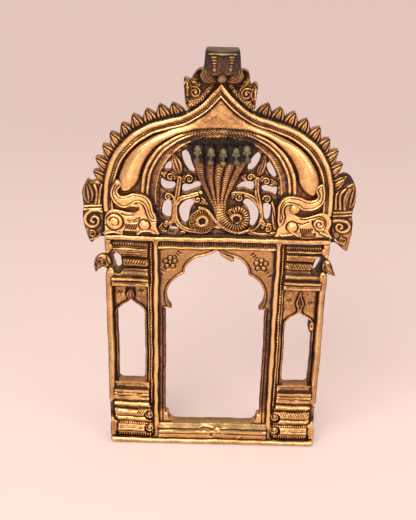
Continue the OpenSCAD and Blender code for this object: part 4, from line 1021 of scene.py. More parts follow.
def wing(side):
    """A wing: a lotus bud with blades beside it, two bands, a broad scroll and a small one over the foot.

    Points are read on the photograph, for each side by itself."""
    h = sizes("arch")
    if side < 0:
        rim = [(-78.8, 173.8), (-82.2, 173.5), (-85.1, 171.7), (-88.4, 169.2), (-90.4, 173.5), (-92, 179.2),
               (-93.2, 184.9), (-93.4, 190.6), (-92.8, 194.3), (-92.7, 197.3), (-93, 201.8), (-93, 206.6),
               (-92.1, 210.2), (-90.6, 213.2), (-89.5, 214.6), (-87.7, 213.3), (-85.9, 213.3), (-83, 214),
               (-78, 215)]
        scroll = [(-80.1, 192.8), (-83.6, 193.6), (-87.9, 192.8), (-90.7, 190.3), (-91.7, 186.8),
                  (-90.6, 183.5), (-87.6, 181.6), (-84.4, 182.1), (-82.5, 184.8), (-82.8, 187.4),
                  (-84.7, 188.9), (-86.8, 188.1), (-87.5, 185.8), (-85.7, 184.7)]
        bud, bud_w, small = ((-88.2, 198.5), (-89.6, 213.9)), 9.0, (-87.3, 176.1)
        blades = [[(-83.7, 198.7), (-83, 203.9), (-83.2, 208.3), (-84.3, 211.5)],
                  [(-81.4, 198.3), (-80.9, 203.9), (-80.3, 208.7), (-79.2, 211.5)]]
        bands = (((-92, 196.3), (-79.6, 196.9)), ((-92.1, 194), (-79.6, 194.7)))
        petal = ((-78, 216), (-87.9, 222.4))
    else:
        rim = [(79.1, 173.2), (82.3, 172.9), (85.8, 169.9), (89.7, 166.9), (91.2, 167.3), (92.1, 172),
               (92.7, 176.6), (93.6, 182), (93.3, 187.7), (92.2, 193.3), (92.4, 197.1), (93.2, 199.5),
               (94.6, 202.4), (95.1, 206.1), (94.1, 210.5), (92.7, 214.4), (91.1, 218), (89.4, 220.5),
               (86.7, 222.2), (84.6, 222.6), (82.2, 221.6), (79.6, 220), (77, 218)]
        scroll = [(79.9, 189.3), (82.3, 189.9), (85.5, 190), (88.7, 189.1), (90.7, 186.5), (90.3, 183.8),
                  (88, 181.9), (85.1, 181.8), (82.7, 183.3), (82, 185.5), (83.2, 187.1), (85.4, 186.8),
                  (86.1, 184.9), (84.9, 184.1)]
        bud, bud_w, small = ((89.2, 198.9), (91.6, 215.1)), 8.4, (87.5, 175)
        blades = [[(83.6, 198.7), (82.7, 205), (83.1, 209.4), (85.8, 213)],
                  [(86.6, 198.8), (85.9, 204.4), (86.6, 208.8), (88.6, 212.6)],
                  [(80.4, 198.7), (80, 206), (80.6, 211), (82.2, 214.6)]]
        bands = (((79.4, 195.5), (91.9, 196.6)), ((79.6, 193), (91.8, 194.3)))
        petal = ((78.5, 213.6), (90.5, 221.4))
    to = partial(seen, recess=7)
    pts = through(to(rim), 4)
    pts[:, 0] = np.clip(pts[:, 0], -WING_REACH, WING_REACH)
    c = Carving.shaped(pts, step=0.34)
    c.height += 1.0 + 0.15 * wobble(c.x, c.z, 0.5)
    c.soften(1.6, 1.0)
    for blade in blades:
        c.ridge(through(to(blade)), 2.3, 1.5, 1.9, 1.0, power=3.0)
    c.leaf(*to(bud), bud_w, 2.4, 0.9, 1.5)
    for band in bands:
        c.ridge(to(band), 1.8, 1.4, 1.8, 1.0)
    c.ridge(through(to(scroll)), 2.7, 1.9, 1.9, 0.9, power=3.0)
    c.curl(to(small), 2.7, 0.6, 120, 1.4 * side, 1.3, 1.3, 1.0)
    base = to([(s * side, z) for s, z in ((81.5, 175.6), (84, 173.4), (88.6, 171.4))])
    c.ridge(through(base), 1.5, 1.0, 1.2, 1.0)
    c.height -= 1.9 * smooth(4.4, 3.2, near(c.x, c.z, to(petal))[0])
    return c.skin(-h.plate - 0.6, h.back)


def yali(side):
    """A yali: a crouching body with a spiral haunch, a knee boss and paws, and a neck that ends in a trunk.

    Neck and body are flat reliefs with rounded borders, and a line runs round the neck inside its border."""
    h = sizes("arch")
    if side < 0:
        neck = [(-69.1, 216.4), (-71.7, 213), (-73.6, 209.1), (-74.1, 205.2), (-72.9, 201.4),
                (-70.6, 198.1), (-66.9, 195.7), (-63.2, 195.4), (-60.8, 196.5), (-57.9, 198.4),
                (-54.7, 199.7), (-52.1, 198.6), (-50, 195.3), (-48.9, 191.4), (-47.2, 188), (-44.8, 186.4),
                (-42.1, 186.3), (-42.2, 190.1), (-44, 193.7), (-45.1, 198.2), (-47.2, 202.6),
                (-49.9, 205.2), (-54.1, 206.5), (-58.8, 206.4), (-63.1, 204.7), (-66.6, 204.5),
                (-68.6, 206.9), (-68.1, 208.8), (-66.3, 210.9), (-65.9, 213.8)]
        body = [(-42.1, 186.3), (-42.4, 181.9), (-42.6, 174), (-78.4, 174), (-78.8, 178.1), (-78.4, 183.3),
                (-78.2, 187.8), (-76, 192.4), (-70.7, 194), (-65.4, 193.5), (-60.6, 192.5), (-56.1, 193.1),
                (-54.5, 194.6), (-55.3, 196.7), (-58.4, 197.7), (-54.7, 199.7), (-52.1, 198.6), (-50, 195.3),
                (-48.9, 191.4), (-47.2, 188), (-44.8, 186.4)]
        head, knee, hip, knobs = (-58.2, 195.6), (-50.9, 183.4), (-71.5, 184.9), [(-68.9, 213.4)]
        paws = [[(-78.2, 176), (-75.4, 177), (-71.9, 177.4), (-66.6, 176)],
                [(-56, 176), (-52.6, 178.6), (-47, 179.2), (-43.6, 177.4)]]
        lines = [[(-62.3, 186.2), (-58.1, 186.3), (-53.8, 188.4)],
                 [(-61.8, 185), (-57, 185.2), (-53.8, 186.9)], [(-66.4, 191), (-62.4, 190), (-58.6, 190.2)]]
        belly, hollow = ((-65.1, 179.4), (-56.1, 183.6)), ((-66, 170), (-56.4, 178.6))
        haunch, border = (3.9, 2.4, 170, -0.85), 6.2
    else:
        neck = [(69.6, 216.4), (66.4, 214.2), (65.3, 211.1), (66.9, 208.1), (66.8, 205.9), (64.3, 204.4),
                (60.6, 204.5), (56.8, 206.4), (53, 207.4), (48.8, 207.3), (45.3, 205.9), (42.8, 203.3),
                (41.2, 199.4), (41, 194.4), (40.9, 188.8), (42.3, 184.1), (45.2, 187.2), (46.3, 191.7),
                (45.5, 195.6), (46.3, 199), (48.5, 200.6), (51.4, 200.5), (55.1, 199.2), (56.8, 197.6),
                (60.1, 196.6), (63.8, 196.5), (67.4, 197.6), (70.4, 199.9), (72.5, 203), (73, 206.9),
                (72.4, 211.3), (71.3, 215.4)]
        body = [(42.3, 184.1), (40.9, 180.2), (42.5, 174), (77.6, 174), (78, 180), (77.1, 182), (78.6, 185.7),
                (78.7, 189.7), (76.2, 193.5), (72.9, 195.2), (69.2, 194.7), (65.1, 193), (60.4, 192.1),
                (56.1, 192.5), (52.4, 194.2), (55.3, 196.4), (54.6, 199.5), (51.4, 200.5), (48.5, 200.6),
                (46.3, 199), (45.5, 195.6), (46.3, 191.7), (45.2, 187.2)]
        head, knee, hip, knobs = (53.1, 197.6), (51.6, 184.5), (70.4, 186.8), []
        paws = [[(50.5, 181.6), (52.7, 179.9), (55.8, 177.8)], [(44.3, 177.9), (48, 178.5), (52, 179)],
                [(71.4, 180.6), (74.2, 179.4), (77, 178)]]
        lines = [[(55.9, 187.2), (59.1, 187), (62.6, 188.4)],
                 [(65.4, 189.1), (66.2, 185.4), (68.6, 182.1), (72.3, 178.6)],
                 [(56.7, 190.7), (61.5, 190.3), (66.7, 191.6), (71, 192.3), (74.1, 190.2), (75.1, 186.8),
                  (73.8, 183.3)]]
        belly, hollow = ((56.8, 180.2), (65.5, 183.6)), ((58, 177), (68, 180.2))
        haunch, border = (4.8, 0.8, 180, -1.6), 0
    to = partial(seen, recess=4)
    shapes = [closed(to(p), 4) for p in (neck, body)]
    for pts in shapes:
        pts[:, 1] = np.maximum(pts[:, 1], sizes("frame").beam_top - 0.2)
    both = np.vstack(shapes)
    c = Carving(both.min(0), both.max(0), step=0.32)
    x, z = c.x, c.z
    deep, low = [-outline(x, z, pts) for pts in shapes]
    c.add(-deep)
    c.add(-low)
    # What lies close to both the neck and the body joins them.
    c.add(np.maximum(-deep, -low) - 0.8)
    c.height += 2.8
    c.raise_to(2.8 + 3.2 * quarter_round(deep / 0.9), deep > 0)
    c.raise_to(2.8 + 2.2 * quarter_round(low / 0.9), low > 0)
    c.height -= bell(deep, 1.9, 0.3)
    c.height -= 0.2 * np.clip(np.cos(2 * np.pi * x / 1.5) * np.cos(2 * np.pi * z / 1.5), 0, 1) * (deep > 2.6)
    for knob in knobs:
        c.dome(to(knob), 3.0, 4.6, 2.0)
    c.dome(to(head), 3.7, 1.8, 4.6)
    c.dome(to(hip), 6.4, 2.2, 4.2)
    c.groove(spiral_path(to(hip), *haunch), 0.9, 1.1)
    if border:
        c.ring(to(hip), border, 1.0, 1.3)
    c.dome(to(knee), 4.1, 1.9, 4.6)
    c.ring(to(knee), 4.1, 0.7, 1.1)
    for line in lines:
        c.groove(through(to(line)), 0.9, 1.2)
    c.hatch(box(x, z, *to(belly).ravel()) < 0, x + 0.25 * z, 1.35, 1.5)
    c.height -= 1.2 * (box(x, z, *to(hollow).ravel()) < 0)
    for paw in paws:
        c.ridge(through(to(paw)), 3.2, 3.6, 2.4, 2.4, lines=((0.6, 0.4),))
    c.height = np.maximum(c.height, 0.3)
    return c.skin(-h.plate, -h.plate + 1.5)


def vine(side):
    """The tracery of one side: a plate with windows, and on it grooved stems, leaves and spirals.

    Points are drawn on the right, up from the lintel, and mirrored for the left side."""
    h, f = sizes("arch"), sizes("frame")
    if side < 0:
        windows = [[(37.6, 46.8), (36.6, 50), (34.4, 52.6), (33, 52.8), (32.4, 50.2), (33, 46.9),
                    (35.6, 46.2)],
                   [(26.2, 59.4), (23.2, 60.9), (20.8, 58), (19.4, 53.6), (16.6, 46.8), (17, 45),
                    (20.3, 45.7), (23.6, 50.4), (25.6, 55.1)],
                   [(40, 40), (38.8, 40.6), (37.2, 39), (34.1, 38.1), (30.3, 37.8), (30, 34.4), (32.1, 32),
                    (36.7, 31.9), (39.6, 34.2), (40.2, 37.6)],
                   [(25.2, 32.2), (24.8, 35.9), (22.8, 37.2), (18.9, 36.7), (15, 39), (12.2, 37.5),
                    (12.8, 34.3), (17.5, 32.3), (22.1, 30.7), (24.8, 30.8)],
                   [(38, 23), (35.4, 25), (32.8, 24.1), (32.1, 20.4), (32.5, 14.7), (33.4, 11.3),
                    (37.2, 11.8), (39, 14.5), (38.6, 18.8)],
                   [(27.2, 14.8), (26.6, 19.8), (24, 23.9), (20, 26.1), (17.4, 25.2), (16.4, 22.2),
                    (18.6, 19.3), (19.9, 15), (20.5, 9.6), (22.5, 7.2), (25.2, 9.2)],
                   [(35.1, 2.2), (33.3, 4.4), (29.9, 5.2), (27.2, 3.6), (27, 2), (31, 1.6)]]
        stems = [[(14, 3.2), (20.4, 4), (25.6, 6.6), (28.9, 11), (29.8, 17), (29.6, 23.4), (28.7, 29),
                  (27.7, 35.4), (27, 42)], [(28.7, 23.6), (27, 26.4), (23.3, 28.4), (18, 29.8), (13.4, 31)],
                 [(30.3, 11), (31, 17.1), (31.2, 23.5), (31.8, 27.4)],
                 [(30, 11), (34, 9.6), (38, 7.6), (41, 3.6)], [(41, 2.2), (36, 1.6), (31, 0.9), (24, 1.8)]]
        leaves = [((28, 42.8), (40, 44.8), 7.6), ((26.2, 41.4), (13.4, 40.4), 8.0),
                  ((19, 29.4), (6.4, 22.6), 6.4), ((26.6, 44.8), (32.2, 59.4), 7.6),
                  ((31, 9.2), (41, 4), 6.0)]
        curls = [((33.2, 42.4), 2.9, 200, -1.4), ((20.4, 41.4), 3.1, -10, 1.4),
                 ((34.7, 28.1), 2.8, 180, -1.4), ((14.4, 26.6), 2.2, 20, -1.2), ((12.2, 31.6), 1.2, 0, 1.0),
                 ((36, 7.2), 1.9, 160, -1.2)]
    else:
        windows = [[(32.1, 52.2), (33.8, 53.4), (36.6, 50.4), (38.6, 46), (39.2, 43), (37.4, 42.2),
                    (34.4, 45.2), (32.7, 49)],
                   [(23.8, 58.2), (26.2, 60.1), (27.9, 57.6), (26.6, 52.4), (23.6, 47.7), (19.9, 47),
                    (19.2, 50.2), (21.3, 54.9)],
                   [(29.6, 35.8), (32, 37.1), (37, 36), (40.2, 36), (40.6, 33), (39.8, 29.4), (37.2, 30.8),
                    (31.2, 32)],
                   [(12.4, 35.4), (16.1, 38.8), (21.2, 40.2), (23.9, 38.3), (24.7, 34.5), (23, 32.5),
                    (17.6, 34.1), (13.2, 33.6)],
                   [(31.6, 23.3), (35.2, 24), (37.2, 22), (36.9, 16.4), (35.9, 11.6), (33.4, 10.8),
                    (32.1, 16.3)],
                   [(16.8, 23.7), (19.2, 26.8), (23.3, 25.5), (27.4, 21.1), (28.6, 16.2), (27.8, 10.6),
                    (25.4, 5.6), (22.9, 6.9), (22, 11.7), (20.4, 18.8), (18.3, 21.6)]]
        stems = [[(15, 2.6), (20.4, 3.6), (25.6, 6.6), (29.2, 11), (30.2, 16.4), (29.2, 22), (27.6, 28),
                  (26.4, 34), (25.9, 42)],
                 [(29.6, 19), (28.2, 22.6), (25.5, 27.2), (20.8, 30.3), (14.4, 31.6), (10, 31.2)],
                 [(36.4, 25.4), (38.4, 19.6), (39.2, 13.3), (40.4, 6.8)],
                 [(30, 11.4), (33.2, 9.4), (36.4, 8.4)], [(41, 2.2), (35, 1.4), (29, 1.4), (23, 2.6)]]
        leaves = [((27, 42.4), (40.4, 38.8), 7.0), ((26.2, 41.8), (14, 44), 6.8),
                  ((20.6, 31), (8, 28.4), 6.6), ((26.8, 44.4), (30.7, 59.6), 6.4),
                  ((30.6, 8.4), (38, 4.6), 5.0)]
        curls = [((32.2, 40.6), 2.7, 180, -1.4), ((21.4, 43.4), 2.4, 0, 1.3), ((33.7, 27.7), 2.9, 180, -1.4),
                 ((14.7, 28.4), 3.0, 60, 1.5), ((35.4, 5.8), 2.6, 120, -1.3)]
    top = f.beam_top

    def lift(points):
        """Points measured from the lintel's top, at their true heights."""
        return np.asarray(points, float) + [0, top]

    c = Carving((3, top), (44, FIELD_TOP), step=0.32)
    x, z = c.x, c.z
    fx, fz = field_at(np.linspace(0, 180, 181), 0)
    feet = [(fx[0] + 0.6, top - 0.4), (fx[-1] - 0.6, top - 0.4)]
    ring = outline(x, z, np.vstack([feet[:1], np.stack([fx * 1.015, fz + 0.5], -1), feet[1:]]))
    c.add(ring)
    hood = np.abs(hood_sides(np.clip(z - top, HOOD_FOOT, HOOD_TOP))[0 if side < 0 else 1])
    c.cut(x - hood + 0.3)
    holes = [outline(x, z, closed(lift(w), 5)) for w in windows]
    for hole in holes:
        c.cut(hole)
    window = np.min(holes, 0)
    c.height += 0.5 + 0.2 * wobble(x, z, 0.3)
    c.raise_to(1.2 + 0.3 * np.cos(2 * np.pi * (x + z) / 1.6), ring > -2.4)
    for foot, tip, w in leaves:
        c.leaf(lift(foot), lift(tip), w, 1.8, 1.0, 1.5)
    for stem in stems:
        c.ridge(through(lift(stem)), 3.7, 1.6, 3.2, 1.3, lines=((0.0, 0.7), (0.1, 0.3)), power=4.0)
    for p, r, start, turns in curls:
        q = lift(p)
        c.height = np.where(apart(x, z, q) < r + 0.7, 0.7, c.height)
        c.curl(q, r, 0.5, start, turns, 1.6, 1.6, 1.3)
        c.dome(q, 0.9, 1.4, 1.3)
    c.height -= 0.35 * dips(x + 0.5 * z, 1.5) * (c.height < 1.5)
    c.height = np.maximum(c.height - 1.5 * smooth(0.9, 0.1, window), -0.9)
    return mirrored(c.skin(-h.plate - 0.5, h.back), side)


def hood_sides(v):
    """The hood's left and right edges at heights over the lintel."""
    left = [(-3.4, HOOD_FOOT), (-3.6, 18), (-6, 25.6), (-10.5, 35), (-15.4, 45), (-18, 57), (-18.6, HOOD_TOP)]
    right = [(5.4, HOOD_FOOT), (5.8, 18), (6.2, 25.6), (9.5, 35), (14, 45), (19, 57), (19.6, HOOD_TOP)]
    return [np.interp(v, *through(s, 8).T[::-1]) for s in (left, right)]


def naga_hood():
    """The hood: five ribs that spread from the neck and lean forward.

    Belly plates run up the middle rib and scales beside it. A flat sheet fills the field over the hood."""
    h, top = sizes("arch"), sizes("frame").beam_top
    v, t = np.meshgrid(np.linspace(HOOD_FOOT, HOOD_TOP + 3, 190), np.linspace(0, 1, 96), indexing="ij")
    left, right = hood_sides(np.minimum(v, HOOD_TOP))
    g = np.clip((v - 12) / 51, 0, 1)
    lobes = 5 * t
    frac = lobes - np.floor(np.minimum(lobes, 4.999))
    rib = half_round(2 * frac - 1)
    x = left + (right - left) * t
    z = top + v
    depth = 4.2 + 5.6 * g ** 1.4 - 2.2 * (2 * t - 1) ** 2
    spread = smooth(20, 36, v)
    lift = depth + (0.2 + 1.3 * spread) * rib
    centre = bell(t, 0.5, 0.16 + 0.5 * (1 - spread), 4)
    plates = (v + 3.0 * (2 * frac - 1) ** 2 * spread + 1.2 * (2 * t - 1) ** 2) / 2.1
    saw = plates - np.floor(plates)
    lift -= 1.2 * centre * smooth(0.6, 1.0, saw) * (v > 8)
    scales = peaks(v / 1.5 + np.floor(lobes) * 0.5, 1)
    lift -= 0.4 * (1 - centre) * scales * spread
    lift -= 1.6 * np.clip(1 - np.minimum(t, 1 - t) / 0.05, 0, 1) ** 2
    lift -= 3.5 * smooth(61, 66, v)
    hood = plate(x, z, -h.plate - lift, h.back)
    foot = top + 60
    c = Carving((-19.4, foot), (20.4, FIELD_TOP), step=0.6)
    field = outline(c.x, c.z, np.stack(field_at(np.linspace(0, 180, 181), 0), -1))
    c.add(np.maximum(field, box(c.x, c.z, -18.6, foot, 19.6, 250)))
    c.height += 0.3 * wobble(c.x, c.z, 0.4)
    return join(hood, c.skin(-h.plate - 2, h.back))


def naga_coils():
    """The coils: a ring with ticks about a pierced eye, the neck wound about the other eye, and the tail.

    The neck's height is a half ellipse across its path, cut by belly plates square to the path."""
    h, top = sizes("arch"), sizes("frame").beam_top
    c = Carving((-21, top), (23, top + 26), step=0.3)
    x, z = c.x, c.z
    coils = [(np.array([-10.7, top + 10.6]), 9.2), (np.array([13.1, top + 12.6]), 9.1)]
    neck = through(seen([(1.1, 202.1), (0.9, 198.2), (1.9, 192.9), (4, 188), (7.5, 184.2), (12.2, 182.5),
                         (16.6, 183.8), (19.2, 187.5), (19.3, 191.5), (17.2, 194.8), (13.8, 196),
                         (10.6, 194.7)], 5))
    tail = through(seen([(-12.6, 196.8), (-8.8, 195.7), (-5.3, 192.2), (-1.9, 187.8), (2.5, 183.5),
                         (7.6, 180.3), (14.5, 178.9), (21.4, 181)], 5))
    for p, r in coils:
        c.add(apart(x, z, p) - r)
    away, share = near(x, z, neck)
    half = np.interp(share, [0, 0.3, 0.5, 1], [4.6, 4.2, 3.1, 2.5])
    c.add(away - half)
    c.add_stroke(tail, 3.0, 2.6)
    c.add(box(x, z, -20, top - 0.2, 21, top + 4))
    c.add(box(x, z, -3.6, top + 3, 7, top + 16))
    c.height += 1.0
    for at in (1.6, 3.0):
        c.height -= 0.5 * bell(z - top - at, 0.2 * np.sin(x * 0.3), 0.3)
    for p, r in coils:
        d, a = apart(x, z, p), np.arctan2(z - p[1], x - p[0])
        q = np.clip((d - 2.3) / (r - 2.3), 0, 1)
        body = 2.0 + 1.8 * half_round(2 * q - 1)
        ticks = 0.5 - 0.5 * np.cos(27 * a + 2 * q)
        body -= 1.9 * ticks ** 2 * bell(q, 0.56, 0.27, 4)
        body += 0.9 * bell(q, 0.93, 0.08) - 0.8 * bell(q, 0.84, 0.03)
        body += 0.5 * bell(q, 0.07, 0.08)
        c.height = np.where(d < r, np.maximum(c.height * (d > r - 0.8), body), c.height)
    across = np.clip(away / half, 0, 1)
    plates = dips(share * np.hypot(*np.diff(neck, axis=0).T).sum(), 1.7)
    wound = 2.2 + 2.6 * np.sqrt(1 - across ** 2) - 1.7 * plates ** 2 * smooth(1.0, 0.8, across)
    c.height = np.where((away < half) & (share > 0) & (share < 1), wound, c.height)
    c.height -= 1.2 * bell(away - half, 0.1, 0.3) * (share < 0.5)
    c.ridge(tail, 2.9, 2.3, 2.4, 2.6, lines=((0.0, 0.9),))
    c.height = np.maximum(c.height, 0.3)
    for p, _ in coils:
        c.cut(apart(x, z, p) - 2.4)
    return c.skin(-h.plate, h.back)


def naga_heads():
    """Five heads: a round crown with a knob and two side beads over a drooping snout with an open mouth."""
    top = sizes("frame").beam_top
    parts = []
    for hx, hh in ((-14.8, 65.4), (-6, 64), (2, 63.6), (10.6, 64.4), (17.6, 65.8)):
        z, y, lean = top + hh - 1.6, -16.4, 0.06 * hx
        parts.append(ball((hx, y, z + 1.3), (2.35, 2.4, 2.9), 14))
        parts.append(ball((hx, y - 1.2, z + 3.4), (1.2, 1.1, 1.0), n=8))
        for s in (-1, 1):
            parts.append(ball((hx + s * 1.9, y - 0.8, z - 0.6), (0.8, 1.0, 1.2), n=8))
        v = np.linspace(0, 1, 26)
        path = np.stack([hx + lean * v, y - 0.3 - 4.2 * v, z - 0.4 - 6.0 * v], -1)
        radii = 1.9 - 1.1 * smooth(0.05, 0.36, v) + 1.35 * smooth(0.45, 0.75, v) - 0.8 * smooth(0.86, 1.0, v)
        inner = path[-1] + np.array([[0, -0.05, -0.05], [0, 0.7, 0.95]])
        parts.append(tube(np.vstack([path, inner]), np.concatenate([radii, [0.8, 0.6]]), 18))
        neck = np.stack([np.full(6, hx), np.linspace(y, -4, 6), np.full(6, z - 0.5)], -1)
        parts.append(tube(neck, np.linspace(1.8, 2.4, 6), 14))
    return join(*parts)


# The crest

def crest_leaf(side):
    """A crest leaf: a hatched band and a scroll beside the mask, with a bright leaf at its outer end."""
    h = sizes("arch")
    if side < 0:
        rim = [(-22.4, 264), (-23.6, 272), (-24.2, 284), (-22, 285), (-19.6, 284.2), (-18.2, 287),
               (-15.6, 290.4), (-12.5, 291.4), (-9, 290.5), (-2, 288), (-0.2, 281), (-2.5, 276),
               (-8, 270.5), (-16, 265.5)]
        leaf, low = ((-21.8, 273.4), (-22, 285.4)), ((-20, 266), (-13.4, 270))
        band = [(-13, 290.4), (-16.2, 287.6), (-17, 283.6), (-15, 281.4)]
        rib = [(-20.6, 270), (-14, 271.8), (-9, 276.2), (-6.8, 281)]
        scroll, hollow = (-17, 276.2), (-12.6, 281.4)
    else:
        rim = [(22.6, 262), (22.8, 272.5), (23.5, 281.4), (21.2, 282.4), (19.6, 281), (18.2, 284),
               (17.2, 289), (15.5, 290.4), (12.4, 291), (9, 290), (2, 288), (0.4, 281), (2.8, 276),
               (8, 270), (15, 265)]
        leaf, low = ((22, 270.4), (22.2, 282.6)), ((21.6, 265.6), (14.2, 267.8))
        band = [(13, 290.4), (15.6, 287.6), (16, 283.6), (14, 280.8)]
        rib = [(20.6, 271), (16, 270.6), (12.4, 273.4), (12.6, 279)]
        scroll, hollow = (16.6, 275.4), (8.6, 277.4)
    hem = [(21.5, 264.8), (16.4, 268.2), (11.6, 272.4), (7.2, 277.2), (4.6, 281.4)]
    to = partial(seen, recess=8)
    c = Carving.shaped(closed(to(rim), 4), step=0.32)
    c.height += 0.4 + 0.15 * wobble(c.x, c.z, 0.4)
    c.soften(1.2, 0.5)
    c.ridge(through(to(rib)), 2.2, 1.5, 1.6, 0.4, lines=((0, 0.5),))
    for path, width in ((through(to(band)), 4.2), (through([(side * u, v) for u, v in hem]), 4.0)):
        c.ridge(path, width, 1.4, width * 0.8, 1.5, lines=((0.75, 0.6),), power=3.0)
        dist, share = near(c.x, c.z, path)
        c.hatch(dist < 1.3, share * 20 + 0.8 * dist, 1.5, 0.8)
    c.leaf(*to(leaf), 6.0, 2.2, 1.2, 1.0)
    c.leaf(*to(low), 5.2, 1.6, 0.4, 2.0)
    for r in (5.4, 7.0, 8.6):
        c.ring(to(scroll), r, 1.2, -0.8)
    c.curl(to(scroll), 4.0, 0.7, 40 if side > 0 else 140, 1.6 * side, 1.6, 1.4, 0.7)
    c.dome(to(scroll), 1.1, 1.2, 0.8)
    q = to(hollow)
    c.height -= 1.1 * np.exp(-(((c.x - q[0]) / 2.6) ** 2 + ((c.z - q[1]) / 3.2) ** 2) ** 2)
    return c.skin(-h.plate, h.back)


def lion_mask():
    """The lion mask: a tapered drum, stepped brows over ball eyes, wrinkled jaws and a ball nose."""
    # The drum's foot, the plane of its rear, and how far it goes on round past its sides.
    foot, rear, wrap = 281.9, -2.6, 0.35
    v = np.concatenate([np.linspace(0, 0.04, 4), np.linspace(0.06, 0.94, 46), np.linspace(0.955, 1, 8)])
    a = np.linspace(-0.5 * np.pi - wrap, 0.5 * np.pi + wrap, 120)
    z = foot + 6.6 + 15.4 * v
    r = 12.4 - 1.5 * v - 0.9 * (np.clip((v - 0.95) / 0.05, 0, 1) ** 2) - 0.8 * np.clip(1 - v / 0.06, 0, 1)
    square = (np.abs(np.sin(a)) ** 4 + np.abs(np.cos(a)) ** 4) ** -0.25
    x = r[:, None] * (np.sin(a) * (0.55 + 0.45 * square))[None]
    front = r[:, None] * (np.cos(a) * (0.62 + 0.38 * square))[None]
    hair = 0.28 * np.cos(a * 46)[None] * smooth(0.08, 0.2, v)[:, None] * smooth(0.97, 0.86, v)[:, None]
    hair = hair * smooth(0.75, 1.0, np.abs(a))[None]
    socket = 1.1 * smooth(0.95, 0.8, v)[:, None] * bell(np.abs(x), 0.2, 2.2)
    y = np.minimum(-8 - front + socket, rear) + hair + 0.25 * wobble(x, z[:, None], 0.12) * (v < 0.9)[:, None]
    turned = np.clip((0.5 * np.pi + wrap - np.abs(a)[None]) / wrap, 0, 1)
    y = np.where(np.abs(a)[None] > 0.5 * np.pi, rear - 5.4 * turned, y)
    parts = [loft(np.stack([x, y, np.broadcast_to(z[:, None], x.shape)], -1))]
    for s in (-1, 1):
        for k in range(4):
            brow = (s * (5.4 - 0.1 * k), -18.8 + 0.2 * k, foot + 17.8 - 1.85 * k)
            parts.append(ball(brow, (2.1 - 0.15 * k, 2.0, 0.9), -12, 10))
        parts.append(ball((s * 5.0, -18.6, foot + 10.2), (1.7, 1.9, 1.8), n=12))
        px, py, pz = sphere(30)
        fold = 1 + 0.055 * np.cos(2 * np.pi * 3.4 * np.hypot(px + s * 0.9, pz - 0.7)) * (py < 0.3)
        deep = np.minimum(-11.6 + 6.6 * py * fold + 3 * (py > 0.2) * (py - 0.2), rear)
        parts.append(loft(np.stack([s * 7.6 + 6.0 * px * fold, deep, foot + 5.9 + 5.5 * pz * fold], -1)))
    parts.append(ball((0, -17.9, foot + 19.7), (9.4, 1.9, 1.1)))
    parts.append(ball((0, -17.4, foot + 4.6), (3.2, 3.0, 2.8)))
    parts.append(ball((0, -15.4, foot + 8.0), (2.4, 3.0, 2.4), 25))
    return join(*parts)


# Finish

# How much darker (or, below 0, brighter) some pieces are than their shape alone makes them; the roll's
# brighter value is partly a painted highlight. The first word that is found in a piece's name counts.
DARKER_BY_PIECE = {"mask": 0.34, "bead": -0.08, "heads": 0.26, "vine": 0.12, "crest": 0.02, "niche": 0.04,
           "arch_roll": -0.14, "yali": -0.12, "base_bar": 0.05, "sill": -0.02, "capital": 0.2, "hood": 0.06,
           "wing": 0.13, "base_moulding": 0.04, "portal": 0.14, "bird": 0.12, "coils": 0.04, "petal": 0.06,
           "post": 0.1, "lintel": 0.2, "frieze": 0.2, "rim": -0.02}


def sampled(values, at):
    """A map's values at places counted in cells, straight between the four nearest cells."""
    i, k = at.astype(int).T
    s, t = (at - at.astype(int)).T
    low = values[i, k] * (1 - s) + values[i + 1, k] * s
    high = values[i, k + 1] * (1 - s) + values[i + 1, k + 1] * s
    return low * (1 - t) + high * t


